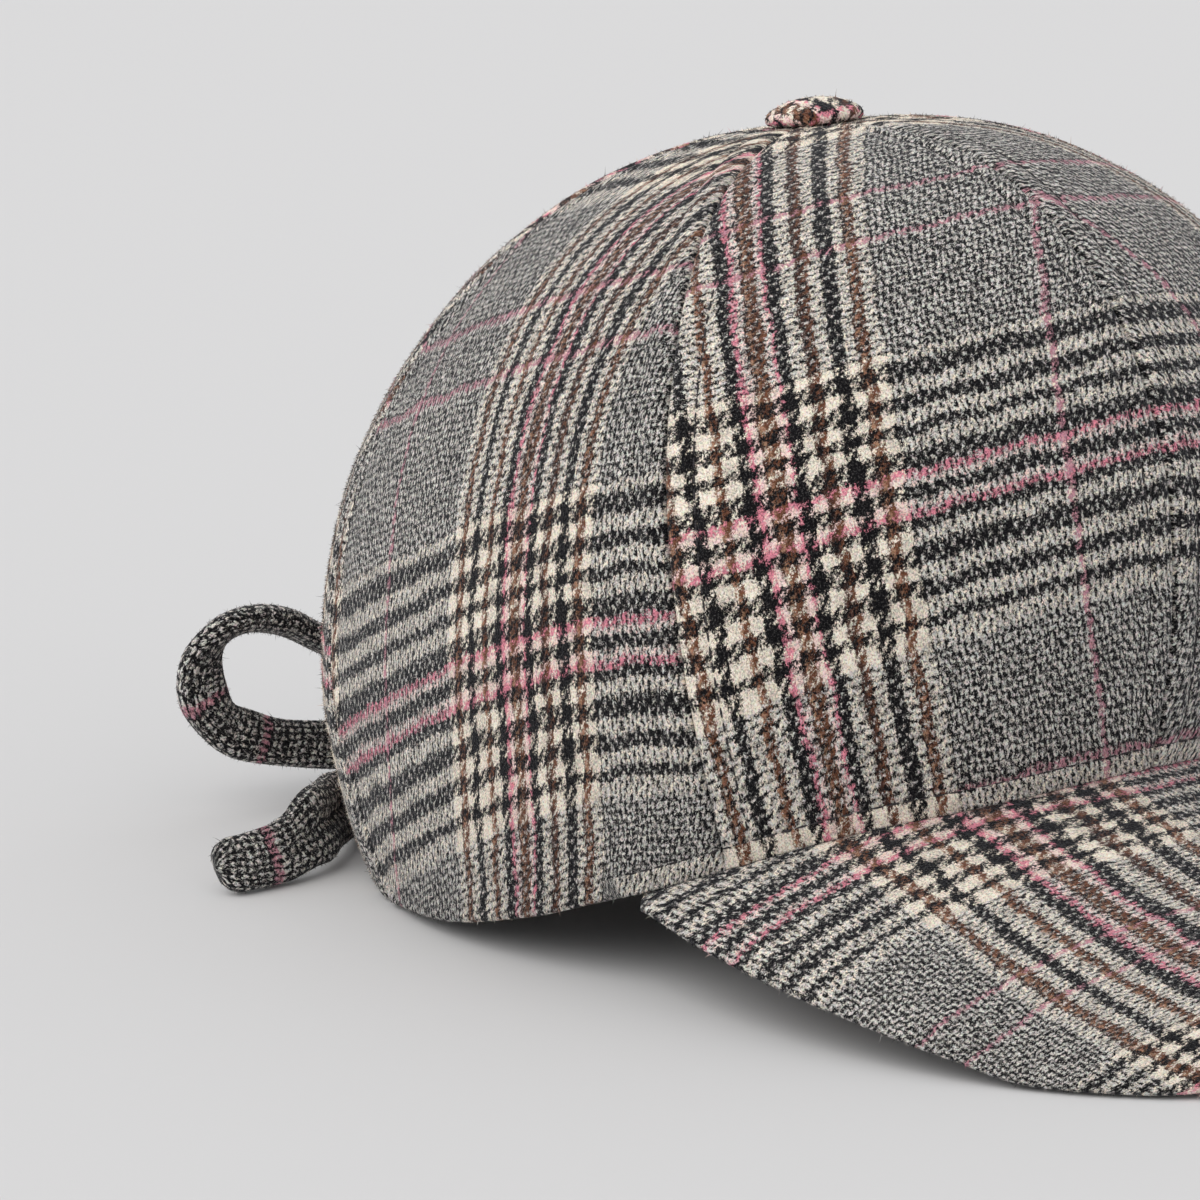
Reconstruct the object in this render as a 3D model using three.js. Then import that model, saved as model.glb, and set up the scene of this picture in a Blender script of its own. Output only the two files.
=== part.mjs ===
// A soft baseball cap in checked wool tweed: a six-panel crown with a covered button, a stiff
// arched peak, and a band across the rear opening that is tied in a bow.
// Millimetres, +Z up. The wearer faces -Y, and the cap stands on z = 0 on its back rim and on
// the two side edges of the peak.

import * as THREE from 'three';
import { mergeVertices } from 'three/addons/utils/BufferGeometryUtils.js';

// Driving dimensions

const CLOTH = 2.6;            // wall of the crown: tweed with its turned seams
const SEAM_GAP = 0.3;         // clear space between two pieces that meet
const AXIS_Y = 27.9;          // the crown's axis, so that the origin is under the middle of the cap

const RIM_RADIUS = 91;        // 572 mm round the outside of the rim
const RIM_OVAL = 0.02;        // the rim is this much longer and narrower than a circle
const RIM_CENTRE_Y = -1;
const CROWN_HEIGHT = 146.5;   // floor to the point where the six panels meet
const APEX_Y = 7.5;

// Height of the rim above the floor. The back lies on the floor, and the peak lifts the front.
const RIM_HEIGHTS = [
  { azimuth: 0, height: 40.5 },
  { azimuth: 30, height: 35.2 },
  { azimuth: 69, height: 15.3 },
  { azimuth: 80, height: 9.4 },
  { azimuth: 100, height: 2.2 },
  { azimuth: 120, height: 0 },
  { azimuth: 180, height: 0 },
];

// Each line from the rim to the top is a cubic Bezier curve. Its handles change from front to
// back: mean + front * cos(azimuth) + oval * cos(2 * azimuth).
const RIM_LEAN = { mean: 21.2, front: -4.5, oval: 0 };      // degrees outwards from upright
const RIM_HANDLE = { mean: 82.8, front: 3.6, oval: -2.3 };
const TOP_HANDLE = { mean: 63.3, front: 3.8, oval: -3.2 };
const TOP_RISE = { mean: 8, front: 9.9, oval: 0 };          // the front stands fuller than the button

const PANEL_TOP = 0.97;       // share of the way up at which a panel ends under the button
const PANEL_COLUMNS = 9;
const PANEL_ROWS = 18;

// The seams bow a little: a seam's azimuth is smaller at the rim and larger half way up.
const SEAM_IN_AT_RIM = 7.5;
const SEAM_OUT_HALF_WAY = 1.9;

const ARCH_HALF_WIDTH = 40;   // rear opening
const ARCH_HEIGHT = 43;
const ARCH_COLUMNS = 5;
const ARCH_ALONG_RIM = 1.045; // the opening takes this much more of the curved rim than its width
const HIGHEST_FOOT = 0.6;     // no panel starts higher up than this share of its height

const PEAK_END = 63.8;        // azimuth of the peak's two corners
const PEAK_TIP_Y = -170;
const PEAK_THICKNESS = 4;
const PEAK_EDGE_HALF = 1.2;   // half the thickness at the rounded outer edge
const PEAK_CORNER_HANDLE = { out: 10, forward: 65 };
const PEAK_TIP_HANDLE = 62;
const PEAK_CROWNING = 3;      // how far the peak bulges above a straight line from seam to edge
const PEAK_FULL_WIDTH = 60;   // it bulges less where it is narrower than this
const PEAK_STRIP = 2.3;       // width of the strip under the crown's wall
const PEAK_REACH = 0.985;     // the solid stops just short of the two sharp corners
const PEAK_COLUMNS = 28;
const PEAK_ROWS = 6;

// Height of the underside along the outer edge, from a corner (0) to the tip (1).
const PEAK_EDGE_HEIGHTS = [
  { along: 0, height: 14.5 },
  { along: 0.12, height: 12 },
  { along: 0.33, height: 7 },
  { along: 0.47, height: 2.8 },
  { along: 0.56, height: -0.1 },
  { along: 0.68, height: -0.2 },
  { along: 1, height: 9 },
];

const BUTTON_RADIUS = 9.4;
const BUTTON_HEIGHT = 5.2;
const BUTTON_TILT = 9;        // degrees backwards
const BUTTON_FORWARD = 1.4;   // the button sits this much in front of the meeting point
const SHANK_RADIUS = 3;
const SHANK_LENGTH = 7;
const BUTTON_SEGMENTS = 20;

const STRAP_WIDTH = 10.2;     // a sewn tube of the same tweed, pressed flat
const STRAP_THICKNESS = 5.4;
const STRAP_SIDES = 8;
const STRAP_SQUARENESS = { across: 0.6, through: 0.8 }; // 1 is an ellipse, 0 a rectangle

// The bow's straps, as points of the middle line. face is the direction that the strap's
// width points in there. The left side is the mirror image of the right, apart from its tail.
const LOOP_POINTS = [
  { at: [-8.9, 102, 15.5], face: [0, 1, 0.1] },
  { at: [-20, 104.2, 20.3], face: [0, 1, 0] },
  { at: [-34, 106, 27], face: [0, 1, -0.1] },
  { at: [-46.5, 107.2, 33.2], face: [0, 0.98, -0.15] },
  { at: [-54.5, 108.4, 37.4], face: [0, 0.97, -0.2] },
  { at: [-62, 109.5, 38.7], face: [0.1, 0.95, -0.3] },
  { at: [-68.4, 110.3, 36.8], face: [0.4, 0.75, -0.5] },
  { at: [-72.2, 110.9, 31.5], face: [0.85, 0.1, -0.15] },
  { at: [-72.1, 111, 24.5], face: [0.92, -0.15, 0.2] },
  { at: [-68, 110.5, 17.8], face: [0.6, 0.05, 0.78] },
  { at: [-59, 109.6, 13.3], face: [0.2, 0.2, 0.95] },
  { at: [-49.5, 108.8, 10.9], face: [0.05, 0.35, 0.93] },
  { at: [-39, 108.6, 9.2], face: [0, 0.6, 0.8] },
  { at: [-24, 108.6, 8.4], face: [0, 0.85, 0.5] },
  { at: [-9.3, 108.5, 8.4], face: [0, 0.9, 0.35] },
];
const TAIL_RIGHT_POINTS = [
  { at: [-9.2, 99.4, 6], face: [0, 0.05, 1] },
  { at: [-24, 96.6, 6], face: [0, 0.1, 1] },
  { at: [-44, 88.5, 6.2], face: [0, 0.2, 1] },
  { at: [-60, 77.8, 6.4], face: [-0.1, 0.3, 1] },
  { at: [-72, 68, 7], face: [-0.1, 0.3, 1] },
  { at: [-81, 61.4, 7], face: [-0.1, 0.3, 0.95] },
  { at: [-87, 59.4, 6], face: [0, 0.35, 0.95] },
  { at: [-96, 58.8, 5.2], face: [0, 0.45, 0.88] },
  { at: [-106, 59.1, 4.5], face: [0, 0.55, 0.83] },
];
const TAIL_LEFT_POINTS = [
  { at: [9.2, 99.4, 6], face: [0, 0.05, 1] },
  { at: [24, 96.6, 6], face: [0, 0.1, 1] },
  { at: [43, 91, 6.2], face: [0, 0.2, 1] },
  { at: [59, 84, 6], face: [0.1, 0.3, 1] },
  { at: [73, 79.5, 5.8], face: [0.1, 0.35, 0.9] },
  { at: [88, 79, 5], face: [0, 0.5, 0.85] },
  { at: [105.7, 82, 4.4], face: [0, 0.6, 0.8] },
];
const LOOP_STEPS = 34;
const TAIL_STEPS = 20;
const TIE_STEPS = 6;
const TIE_HEIGHT = 6.2;       // middle of each tie above the floor
const TIE_FROM = 157;         // azimuth at the edge of the rear opening
const TIE_TO = 174.6;         // azimuth at the knot
const TIE_RISE = 0.03;        // the tie follows the crown's wall at this share of its height
const TIE_PLACES = 4;
const KNOT_CENTRE = [0, 102.6, 9.8];
const KNOT_SIZE = [18.8, 19, 18];
const KNOT_SEGMENTS = { around: 14, up: 10 };

const TWEED_GREY = 0x8c8782;

// Small helpers

const radians = THREE.MathUtils.degToRad;

// Value of a column in a table at a key, on a smooth curve that never overshoots the rows.
function lookUp(table, keyName, valueName, key) {
  const last = table.length - 1;
  const slope = (row) => (table[row + 1][valueName] - table[row][valueName])
    / (table[row + 1][keyName] - table[row][keyName]);
  const tangent = (row) => {
    if (row === 0 || row === last) return 0;
    const before = slope(row - 1);
    const after = slope(row);
    return before * after > 0 ? (2 * before * after) / (before + after) : 0;
  };
  let row = 0;
  while (row < last - 1 && key > table[row + 1][keyName]) row += 1;
  const span = table[row + 1][keyName] - table[row][keyName];
  const t = THREE.MathUtils.clamp((key - table[row][keyName]) / span, 0, 1);
  return (2 * t ** 3 - 3 * t ** 2 + 1) * table[row][valueName]
    + (t ** 3 - 2 * t ** 2 + t) * span * tangent(row)
    + (3 * t ** 2 - 2 * t ** 3) * table[row + 1][valueName]
    + (t ** 3 - t ** 2) * span * tangent(row + 1);
}

function roundTheCrown(shape, azimuth) {
  const angle = radians(azimuth);
  return shape.mean + shape.front * Math.cos(angle) + shape.oval * Math.cos(2 * angle);
}

// Horizontal direction at an azimuth: 0 is the front, positive towards the wearer's left.
function outwards(azimuth) {
  const angle = radians(azimuth);
  return new THREE.Vector3(Math.sin(angle), -Math.cos(angle), 0);
}

// A closed solid from a grid of outer points and a grid of inner points of the same size.
function shellGeometry(outer, inner) {
  const rows = outer.length;
  const columns = outer[0].length;
  const positions = [];
  const quad = (a, b, c, d) => {
    for (const point of [a, b, c, a, c, d]) positions.push(point.x, point.y, point.z);
  };
  for (let i = 0; i + 1 < rows; i += 1) {
    for (let j = 0; j + 1 < columns; j += 1) {
      quad(outer[i][j], outer[i][j + 1], outer[i + 1][j + 1], outer[i + 1][j]);
      quad(inner[i][j], inner[i + 1][j], inner[i + 1][j + 1], inner[i][j + 1]);
    }
    const end = columns - 1;
    quad(outer[i][0], outer[i + 1][0], inner[i + 1][0], inner[i][0]);
    quad(outer[i][end], inner[i][end], inner[i + 1][end], outer[i + 1][end]);
  }
  const top = rows - 1;
  for (let j = 0; j + 1 < columns; j += 1) {
    quad(outer[0][j], inner[0][j], inner[0][j + 1], outer[0][j + 1]);
    quad(outer[top][j], outer[top][j + 1], inner[top][j + 1], inner[top][j]);
  }
  const geometry = new THREE.BufferGeometry();
  geometry.setAttribute('position', new THREE.Float32BufferAttribute(positions, 3));
  return mergeVertices(geometry, 1e-4);
}

function addPiece(group, name, geometry, roughness = 0.95) {
  const material = new THREE.MeshStandardMaterial({ color: TWEED_GREY, roughness, metalness: 0 });
  const mesh = new THREE.Mesh(geometry, material);
  mesh.name = name;
  group.add(mesh);
  return mesh;
}

// Crown

function rimPoint(azimuth) {
  const radius = RIM_RADIUS * (1 + RIM_OVAL * Math.cos(2 * radians(azimuth)));
  const point = outwards(azimuth).multiplyScalar(radius);
  point.y += RIM_CENTRE_Y;
  point.z = lookUp(RIM_HEIGHTS, 'azimuth', 'height', Math.abs(azimuth));
  return point;
}

// Outer surface of the crown: rise 0 is the rim and 1 is the top.
function crownPoint(azimuth, rise) {
  const rim = rimPoint(azimuth);
  const top = new THREE.Vector3(0, APEX_Y, CROWN_HEIGHT);
  const lean = radians(roundTheCrown(RIM_LEAN, azimuth));
  const rimHandle = outwards(azimuth).multiplyScalar(Math.sin(lean));
  rimHandle.z = Math.cos(lean);
  rimHandle.multiplyScalar(roundTheCrown(RIM_HANDLE, azimuth));
  const topHandle = outwards(azimuth).multiplyScalar(roundTheCrown(TOP_HANDLE, azimuth));
  topHandle.z = roundTheCrown(TOP_RISE, azimuth);
  const line = new THREE.CubicBezierCurve3(rim, rimHandle.add(rim), topHandle.add(top), top);
  return line.getPoint(rise);
}

function crownNormal(azimuth, rise) {
  const step = 0.01;
  const round = crownPoint(azimuth + 1, rise).sub(crownPoint(azimuth - 1, rise));
  const up = crownPoint(azimuth, rise + step).sub(crownPoint(azimuth, rise - step));
  return round.cross(up).normalize();
}

// Azimuth of the seam that a plain six-part crown would have at this azimuth.
function seamAzimuth(plainAzimuth, rise) {
  if (plainAzimuth === 0 || Math.abs(plainAzimuth) === 180) return plainAzimuth;
  const shift = SEAM_OUT_HALF_WAY * 4 * rise * (1 - rise) - SEAM_IN_AT_RIM * (1 - rise) ** 2;
  return plainAzimuth + Math.sign(plainAzimuth) * shift;
}

// Azimuth at a share of the way from one seam to the next, clear of both seams by half a gap.
function panelAzimuth(from, to, share, rise) {
  const start = seamAzimuth(from, rise);
  const end = seamAzimuth(to, rise);
  const middle = crownPoint((start + end) / 2, rise);
  const radius = Math.hypot(middle.x, middle.y - APEX_Y * rise);
  const inset = THREE.MathUtils.radToDeg(SEAM_GAP / 2 / radius);
  return THREE.MathUtils.lerp(start + inset, end - inset, share);
}

function archHeight(x) {
  return ARCH_HEIGHT * Math.sqrt(Math.max(0, 1 - (x / ARCH_HALF_WIDTH) ** 2));
}

// How far up a column of the panel starts, so that it ends on the edge of the rear opening.
function footRise(from, to, share) {
  const isAboveArch = (rise) => {
    const point = crownPoint(panelAzimuth(from, to, share, rise), rise);
    return point.y < 0 || point.z >= archHeight(point.x);
  };
  if (isAboveArch(0)) return 0;
  let low = 0;
  let high = HIGHEST_FOOT;
  for (let step = 0; step < 30; step += 1) {
    const half = (low + high) / 2;
    if (isAboveArch(half)) high = half;
    else low = half;
  }
  return high;
}

function evenShares(columns) {
  return Array.from({ length: columns + 1 }, (unused, column) => column / columns);
}

// Shares across a rear panel, from the centre back: closer together where the arch is steep.
function rearShares() {
  const rimLength = RIM_RADIUS * radians(180 - seamAzimuth(120, 0));
  const archShare = ARCH_HALF_WIDTH / rimLength * ARCH_ALONG_RIM;
  const overArch = evenShares(ARCH_COLUMNS).map((share) => archShare * Math.sin(share * Math.PI / 2));
  const beside = evenShares(ARCH_COLUMNS).slice(1).map((share) => archShare + (1 - archShare) * share);
  return [...overArch, ...beside];
}

function panelGeometry(from, to, shares) {
  const outer = [];
  const inner = [];
  const feet = shares.map((share) => footRise(from, to, share));
  for (let row = 0; row <= PANEL_ROWS; row += 1) {
    const outerRow = [];
    const innerRow = [];
    shares.forEach((share, column) => {
      const rise = THREE.MathUtils.lerp(feet[column], PANEL_TOP, row / PANEL_ROWS);
      const azimuth = panelAzimuth(from, to, share, rise);
      const point = crownPoint(azimuth, rise);
      const normal = crownNormal(azimuth, rise);
      if (row === 0 && feet[column] === 0) {
        normal.z = 0;
        normal.normalize();
      }
      outerRow.push(point);
      innerRow.push(point.clone().addScaledVector(normal, -CLOTH));
    });
    outer.push(outerRow);
    inner.push(innerRow);
  }
  return shellGeometry(outer, inner);
}

// Peak

function peakEdgePlan() {
  const corner = rimPoint(-PEAK_END);
  const tip = new THREE.Vector2(0, PEAK_TIP_Y);
  return new THREE.CubicBezierCurve(
    new THREE.Vector2(corner.x, corner.y),
    new THREE.Vector2(corner.x - PEAK_CORNER_HANDLE.out, corner.y - PEAK_CORNER_HANDLE.forward),
    new THREE.Vector2(tip.x - PEAK_TIP_HANDLE, tip.y),
    tip,
  );
}

// Middle of the peak's thickness. across runs from -1, the right corner, to 1, the left one,
// and out from 0, the line under the outside of the crown, to 1, the outer edge.
function peakPoint(across, out) {
  const along = 1 - Math.abs(across);
  const plan = peakEdgePlan().getPointAt(along);
  const edgeHeight = lookUp(PEAK_EDGE_HEIGHTS, 'along', 'height', along) + PEAK_EDGE_HALF;
  const edge = new THREE.Vector3(across < 0 ? plan.x : -plan.x, plan.y, edgeHeight);
  const seam = rimPoint(across * PEAK_END);
  seam.z -= SEAM_GAP + PEAK_THICKNESS / 2;
  const point = seam.clone().lerp(edge, out);
  const width = seam.distanceTo(edge);
  point.z += PEAK_CROWNING * 4 * out * (1 - out) * Math.min(1, width / PEAK_FULL_WIDTH);
  return point;
}

function peakNormal(across, out) {
  const step = 0.01;
  const round = peakPoint(across + step, out).sub(peakPoint(across - step, out));
  const away = peakPoint(across, out + step).sub(peakPoint(across, out - step));
  const normal = away.cross(round).normalize();
  return normal.z < 0 ? normal.negate() : normal;
}

// One point of the peak's surface: side 1 is the top, -1 the underside.
function peakSurface(across, out, side) {
  const half = out === 1 ? PEAK_EDGE_HALF : PEAK_THICKNESS / 2;
  const normal = out === 0 ? new THREE.Vector3(0, 0, 1) : peakNormal(across, out);
  const point = peakPoint(across, out).addScaledVector(normal, side * half);
  point.z = Math.max(point.z, 0);
  return point;
}

// The inner strip of the peak lies flat under the bottom edge of the crown.
function peakStrip(across, side) {
  const point = rimPoint(across * PEAK_END);
  point.addScaledVector(outwards(across * PEAK_END), -PEAK_STRIP);
  point.z -= SEAM_GAP + (PEAK_THICKNESS * (1 - side)) / 2;
  return point;
}

function peakGeometry() {
  const top = [];
  const bottom = [];
  for (let column = 0; column <= PEAK_COLUMNS; column += 1) {
    const across = THREE.MathUtils.lerp(-PEAK_REACH, PEAK_REACH, column / PEAK_COLUMNS);
    const topColumn = [peakStrip(across, 1)];
    const bottomColumn = [peakStrip(across, -1)];
    for (let row = 0; row <= PEAK_ROWS; row += 1) {
      topColumn.push(peakSurface(across, row / PEAK_ROWS, 1));
      bottomColumn.push(peakSurface(across, row / PEAK_ROWS, -1));
    }
    top.push(topColumn);
    bottom.push(bottomColumn);
  }
  return shellGeometry(top, bottom);
}

// Button

function buttonGeometry() {
  const profile = [
    [0, -SHANK_LENGTH],
    [SHANK_RADIUS, -SHANK_LENGTH],
    [SHANK_RADIUS, -0.2],
    [BUTTON_RADIUS - 1, 0],
    [BUTTON_RADIUS - 0.2, 0.9],
    [BUTTON_RADIUS, 2.4],
    [BUTTON_RADIUS - 0.9, 4.1],
    [BUTTON_RADIUS * 0.68, BUTTON_HEIGHT - 0.8],
    [BUTTON_RADIUS * 0.35, BUTTON_HEIGHT - 0.15],
    [0, BUTTON_HEIGHT],
  ].map(([radius, height]) => new THREE.Vector2(radius, height));
  const geometry = new THREE.LatheGeometry(profile, BUTTON_SEGMENTS);
  geometry.rotateX(Math.PI / 2);
  geometry.deleteAttribute('normal');
  geometry.deleteAttribute('uv');
  return mergeVertices(geometry, 1e-3);
}

// The lowest place of the tilted button at which it clears the cloth below it.
function seatButton(button) {
  const seat = new THREE.Vector3(0, APEX_Y - BUTTON_FORWARD, CROWN_HEIGHT);
  const up = new THREE.Vector3(0, 0, 1).applyAxisAngle(new THREE.Vector3(1, 0, 0), radians(-BUTTON_TILT));
  let lift = 0;
  for (let azimuth = -180; azimuth < 180; azimuth += 10) {
    for (let rise = 0.9; rise <= PANEL_TOP; rise += 0.005) {
      const cloth = crownPoint(azimuth, rise).sub(seat);
      const height = cloth.dot(up);
      const radius = Math.sqrt(cloth.lengthSq() - height ** 2);
      if (radius < BUTTON_RADIUS) lift = Math.max(lift, height);
    }
  }
  button.position.copy(seat).addScaledVector(up, lift + SEAM_GAP);
  button.rotation.x = radians(-BUTTON_TILT);
}

// Straps of the bow

function strapGeometry(rows, steps) {
  const line = new THREE.CatmullRomCurve3(rows.map(({ at }) => new THREE.Vector3(...at)), false, 'centripetal');
  const faces = new THREE.CatmullRomCurve3(rows.map(({ face }) => new THREE.Vector3(...face)));
  const rings = [];
  for (let step = 0; step <= steps; step += 1) {
    const t = step / steps;
    const centre = line.getPoint(t);
    const forward = line.getTangent(t);
    const wide = faces.getPoint(t);
    wide.addScaledVector(forward, -wide.dot(forward)).normalize();
    const thick = forward.clone().cross(wide);
    const ring = [];
    for (let side = 0; side < STRAP_SIDES; side += 1) {
      const angle = ((side + 0.5) / STRAP_SIDES) * 2 * Math.PI;
      const across = Math.sign(Math.cos(angle)) * Math.abs(Math.cos(angle)) ** STRAP_SQUARENESS.across;
      const through = Math.sign(Math.sin(angle)) * Math.abs(Math.sin(angle)) ** STRAP_SQUARENESS.through;
      const point = centre.clone()
        .addScaledVector(wide, across * STRAP_WIDTH / 2)
        .addScaledVector(thick, through * STRAP_THICKNESS / 2);
      point.z = Math.max(point.z, 0);
      ring.push(point);
    }
    rings.push(ring);
  }
  const positions = [];
  const triangle = (...corners) => corners.forEach((p) => positions.push(p.x, p.y, p.z));
  for (let step = 0; step < steps; step += 1) {
    for (let side = 0; side < STRAP_SIDES; side += 1) {
      const next = (side + 1) % STRAP_SIDES;
      triangle(rings[step][side], rings[step][next], rings[step + 1][next]);
      triangle(rings[step][side], rings[step + 1][next], rings[step + 1][side]);
    }
  }
  for (let side = 1; side + 1 < STRAP_SIDES; side += 1) {
    triangle(rings[0][0], rings[0][side + 1], rings[0][side]);
    triangle(rings[steps][0], rings[steps][side], rings[steps][side + 1]);
  }
  const geometry = new THREE.BufferGeometry();
  geometry.setAttribute('position', new THREE.Float32BufferAttribute(positions, 3));
  return mergeVertices(geometry, 1e-4);
}

const mirrored = (rows) => rows.map(({ at, face }) => ({
  at: [-at[0], at[1], at[2]],
  face: [-face[0], face[1], face[2]],
}));

// A tie closes half of the foot of the rear opening, in line with the wall of the crown.
function tieRows() {
  return Array.from({ length: TIE_PLACES }, (unused, place) => {
    const azimuth = THREE.MathUtils.lerp(TIE_FROM, TIE_TO, place / (TIE_PLACES - 1));
    const out = outwards(azimuth);
    const middle = crownPoint(azimuth, TIE_RISE).addScaledVector(out, -CLOTH / 2);
    return { at: [middle.x, middle.y, TIE_HEIGHT], face: [out.x * 0.35, out.y * 0.35, 1] };
  });
}

function knotGeometry() {
  const geometry = new THREE.SphereGeometry(0.5, KNOT_SEGMENTS.around, KNOT_SEGMENTS.up);
  geometry.scale(...KNOT_SIZE);
  geometry.deleteAttribute('normal');
  geometry.deleteAttribute('uv');
  return mergeVertices(geometry, 1e-3);
}

// Assembly

const cap = new THREE.Group();
cap.position.y = AXIS_Y;

for (const [name, from, to] of [['front', 0, 60], ['side', 60, 120]]) {
  addPiece(cap, `crown_panel_${name}_left`, panelGeometry(from, to, evenShares(PANEL_COLUMNS)));
  addPiece(cap, `crown_panel_${name}_right`, panelGeometry(-to, -from, evenShares(PANEL_COLUMNS)));
}
addPiece(cap, 'crown_panel_rear_right', panelGeometry(-180, -120, rearShares()));
addPiece(cap, 'crown_panel_rear_left', panelGeometry(120, 180, rearShares().map((share) => 1 - share).reverse()));

addPiece(cap, 'peak', peakGeometry());
seatButton(addPiece(cap, 'top_button', buttonGeometry()));

addPiece(cap, 'tie_left', strapGeometry(tieRows(), TIE_STEPS));
addPiece(cap, 'tie_right', strapGeometry(mirrored(tieRows()), TIE_STEPS));
addPiece(cap, 'bow_knot', knotGeometry()).position.set(...KNOT_CENTRE);
addPiece(cap, 'bow_loop_right', strapGeometry(LOOP_POINTS, LOOP_STEPS));
addPiece(cap, 'bow_loop_left', strapGeometry(mirrored(LOOP_POINTS), LOOP_STEPS));
addPiece(cap, 'bow_tail_right', strapGeometry(TAIL_RIGHT_POINTS, TAIL_STEPS));
addPiece(cap, 'bow_tail_left', strapGeometry(TAIL_LEFT_POINTS, TAIL_STEPS));

export default cap;
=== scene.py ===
"""A soft cap in checked wool tweed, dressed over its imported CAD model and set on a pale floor."""
from math import radians

import bmesh
import bpy
import numpy as np
from mathutils import Matrix, Vector


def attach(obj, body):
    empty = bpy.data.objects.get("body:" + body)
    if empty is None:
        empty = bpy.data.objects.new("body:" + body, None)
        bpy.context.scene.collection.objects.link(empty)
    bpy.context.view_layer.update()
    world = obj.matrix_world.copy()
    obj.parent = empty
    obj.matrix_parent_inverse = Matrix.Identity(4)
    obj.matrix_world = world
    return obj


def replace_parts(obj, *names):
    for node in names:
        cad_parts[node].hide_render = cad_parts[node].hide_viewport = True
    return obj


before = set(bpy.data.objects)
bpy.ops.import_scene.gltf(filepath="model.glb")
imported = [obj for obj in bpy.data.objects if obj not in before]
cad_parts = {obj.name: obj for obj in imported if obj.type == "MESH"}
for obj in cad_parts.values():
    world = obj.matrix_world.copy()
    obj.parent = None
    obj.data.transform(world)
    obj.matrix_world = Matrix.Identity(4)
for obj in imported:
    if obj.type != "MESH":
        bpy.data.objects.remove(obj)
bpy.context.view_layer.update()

# Camera. It stands level with the wearer's right cheek and looks a little down on the cap,
# from about a metre and a half away.
CAMERA_PLACE = (-0.9247, -1.0822, 0.4092)
CAMERA_TILT, CAMERA_TURN = 76.2, -38.0


def put(name, data):
    """A new object in the scene that shows the given mesh, lens or lamp."""
    shown = bpy.data.objects.new(name, data)
    bpy.context.scene.collection.objects.link(shown)
    return shown


photo_lens = bpy.data.cameras.new("photo_lens")
photo_lens.lens = 229.0
photo_lens.sensor_width = 36.0
photo_lens.clip_start = 0.05
photo_lens.clip_end = 60.0
photo_camera = put("photo_camera", photo_lens)
photo_camera.location = CAMERA_PLACE
photo_camera.rotation_euler = (radians(CAMERA_TILT), 0.0, radians(CAMERA_TURN))
bpy.context.scene.camera = photo_camera


# Floor and light. The cap lies on a plain pale sheet of card that runs far past the picture,
# lit by one large soft window high on its right and by the even grey light of a room.
FLOOR_HALF = 6
WINDOW_TOWARDS, WINDOW_POWER, WINDOW_SPREAD = (-0.75, 0.08, 0.78), 1.42, 64
WINDOW_COLOUR, ROOM_COLOUR, ROOM_LIGHT = (1.0, 0.975, 0.94), (0.985, 0.99, 1.0, 1.0), 0.76


def linear(code):
    """The colour that a screen code such as "d9d9d9" stands for, as the light it reflects."""
    parts = [int(code[k:k + 2], 16) / 255 for k in (0, 2, 4)]
    return tuple(p / 12.92 if p <= 0.04045 else ((p + 0.055) / 1.055) ** 2.4 for p in parts) + (1.0,)


def new_material(name):
    """A new node material and its shader."""
    material = bpy.data.materials.new(name)
    material.use_nodes = True
    return material, material.node_tree.nodes["Principled BSDF"]


card_mesh = bpy.data.meshes.new("card_floor")
card_corners = [(x * FLOOR_HALF, y * FLOOR_HALF, 0) for x, y in ((-1, -1), (1, -1), (1, 1), (-1, 1))]
card_mesh.from_pydata(card_corners, [], [(0, 1, 2, 3)])
card_floor = put("card_floor", card_mesh)
card, card_shader = new_material("pale_card")
card_shader.inputs["Base Color"].default_value = linear("d4d4d5")
card_shader.inputs["Roughness"].default_value = 0.9
card_shader.inputs["Specular IOR Level"].default_value = 0.1
card_mesh.materials.append(card)

window = bpy.data.lights.new("window_left", "SUN")
window.energy = WINDOW_POWER
window.angle = radians(WINDOW_SPREAD)
window.color = WINDOW_COLOUR
window_lamp = put("window_left", window)
window_lamp.rotation_euler = Vector(WINDOW_TOWARDS).to_track_quat("Z", "Y").to_euler()
room = bpy.data.worlds.new("grey_room")
room.use_nodes = True
room_light = room.node_tree.nodes["Background"]
room_light.inputs["Color"].default_value = ROOM_COLOUR
room_light.inputs["Strength"].default_value = ROOM_LIGHT
bpy.context.scene.world = room
bpy.context.scene.view_settings.view_transform = "Standard"

# Crown. Six gores of brushed check tweed, sewn edge to edge and pressed open, with their
# bottom edge turned up inside. Each gore is cut so that the check runs up it. Sizes are in
# millimetres and degrees from the crown's axis, which stands AXIS_Y metres behind the middle.
AXIS_Y = 0.0279
RIM_RADIUS, RIM_OVAL, RIM_CENTRE_Y = 91.0, 0.02, -1.0
RIM_HEIGHTS = [(0, 40.5), (30, 35.2), (69, 15.3), (80, 9.4), (100, 2.2), (120, 0), (180, 0)]
CROWN_TOP = (0.0, 7.5, 146.5)
GORE_TOP = 0.975
WALL = 2.6
ARCH_HALF_WIDTH, ARCH_HEIGHT = 40.0, 43.0
RIM_LEAN, RIM_LEAN_FRONT = 21.2, 4.5
RIM_HANDLE, TOP_HANDLE, TOP_RISE = (82.8, 3.6, -2.3), (63.3, 3.8, -3.2), (8.0, 9.9)
SEAM_BOW, SEAM_TUCK = 1.9, 7.5
HEM_FOLD, HEM_HEIGHT, HEM_THICKNESS, PEAK_SEAM_FOLD = 1.3, 18.0, 0.5, 0.4
SEAM_ROLL, SEAM_PLUMP, STITCH_DIMPLE, STITCH_FROM_SEAM = 1.5, 0.4, 0.3, 6.0
PEAK_END = 63.8
SEAM_STRIP = np.array([0, .25, .6, 1.1, 1.8, 2.8, 4.2, 5.2, 5.6, 6.0, 6.4, 6.9, 8.0])
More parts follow.
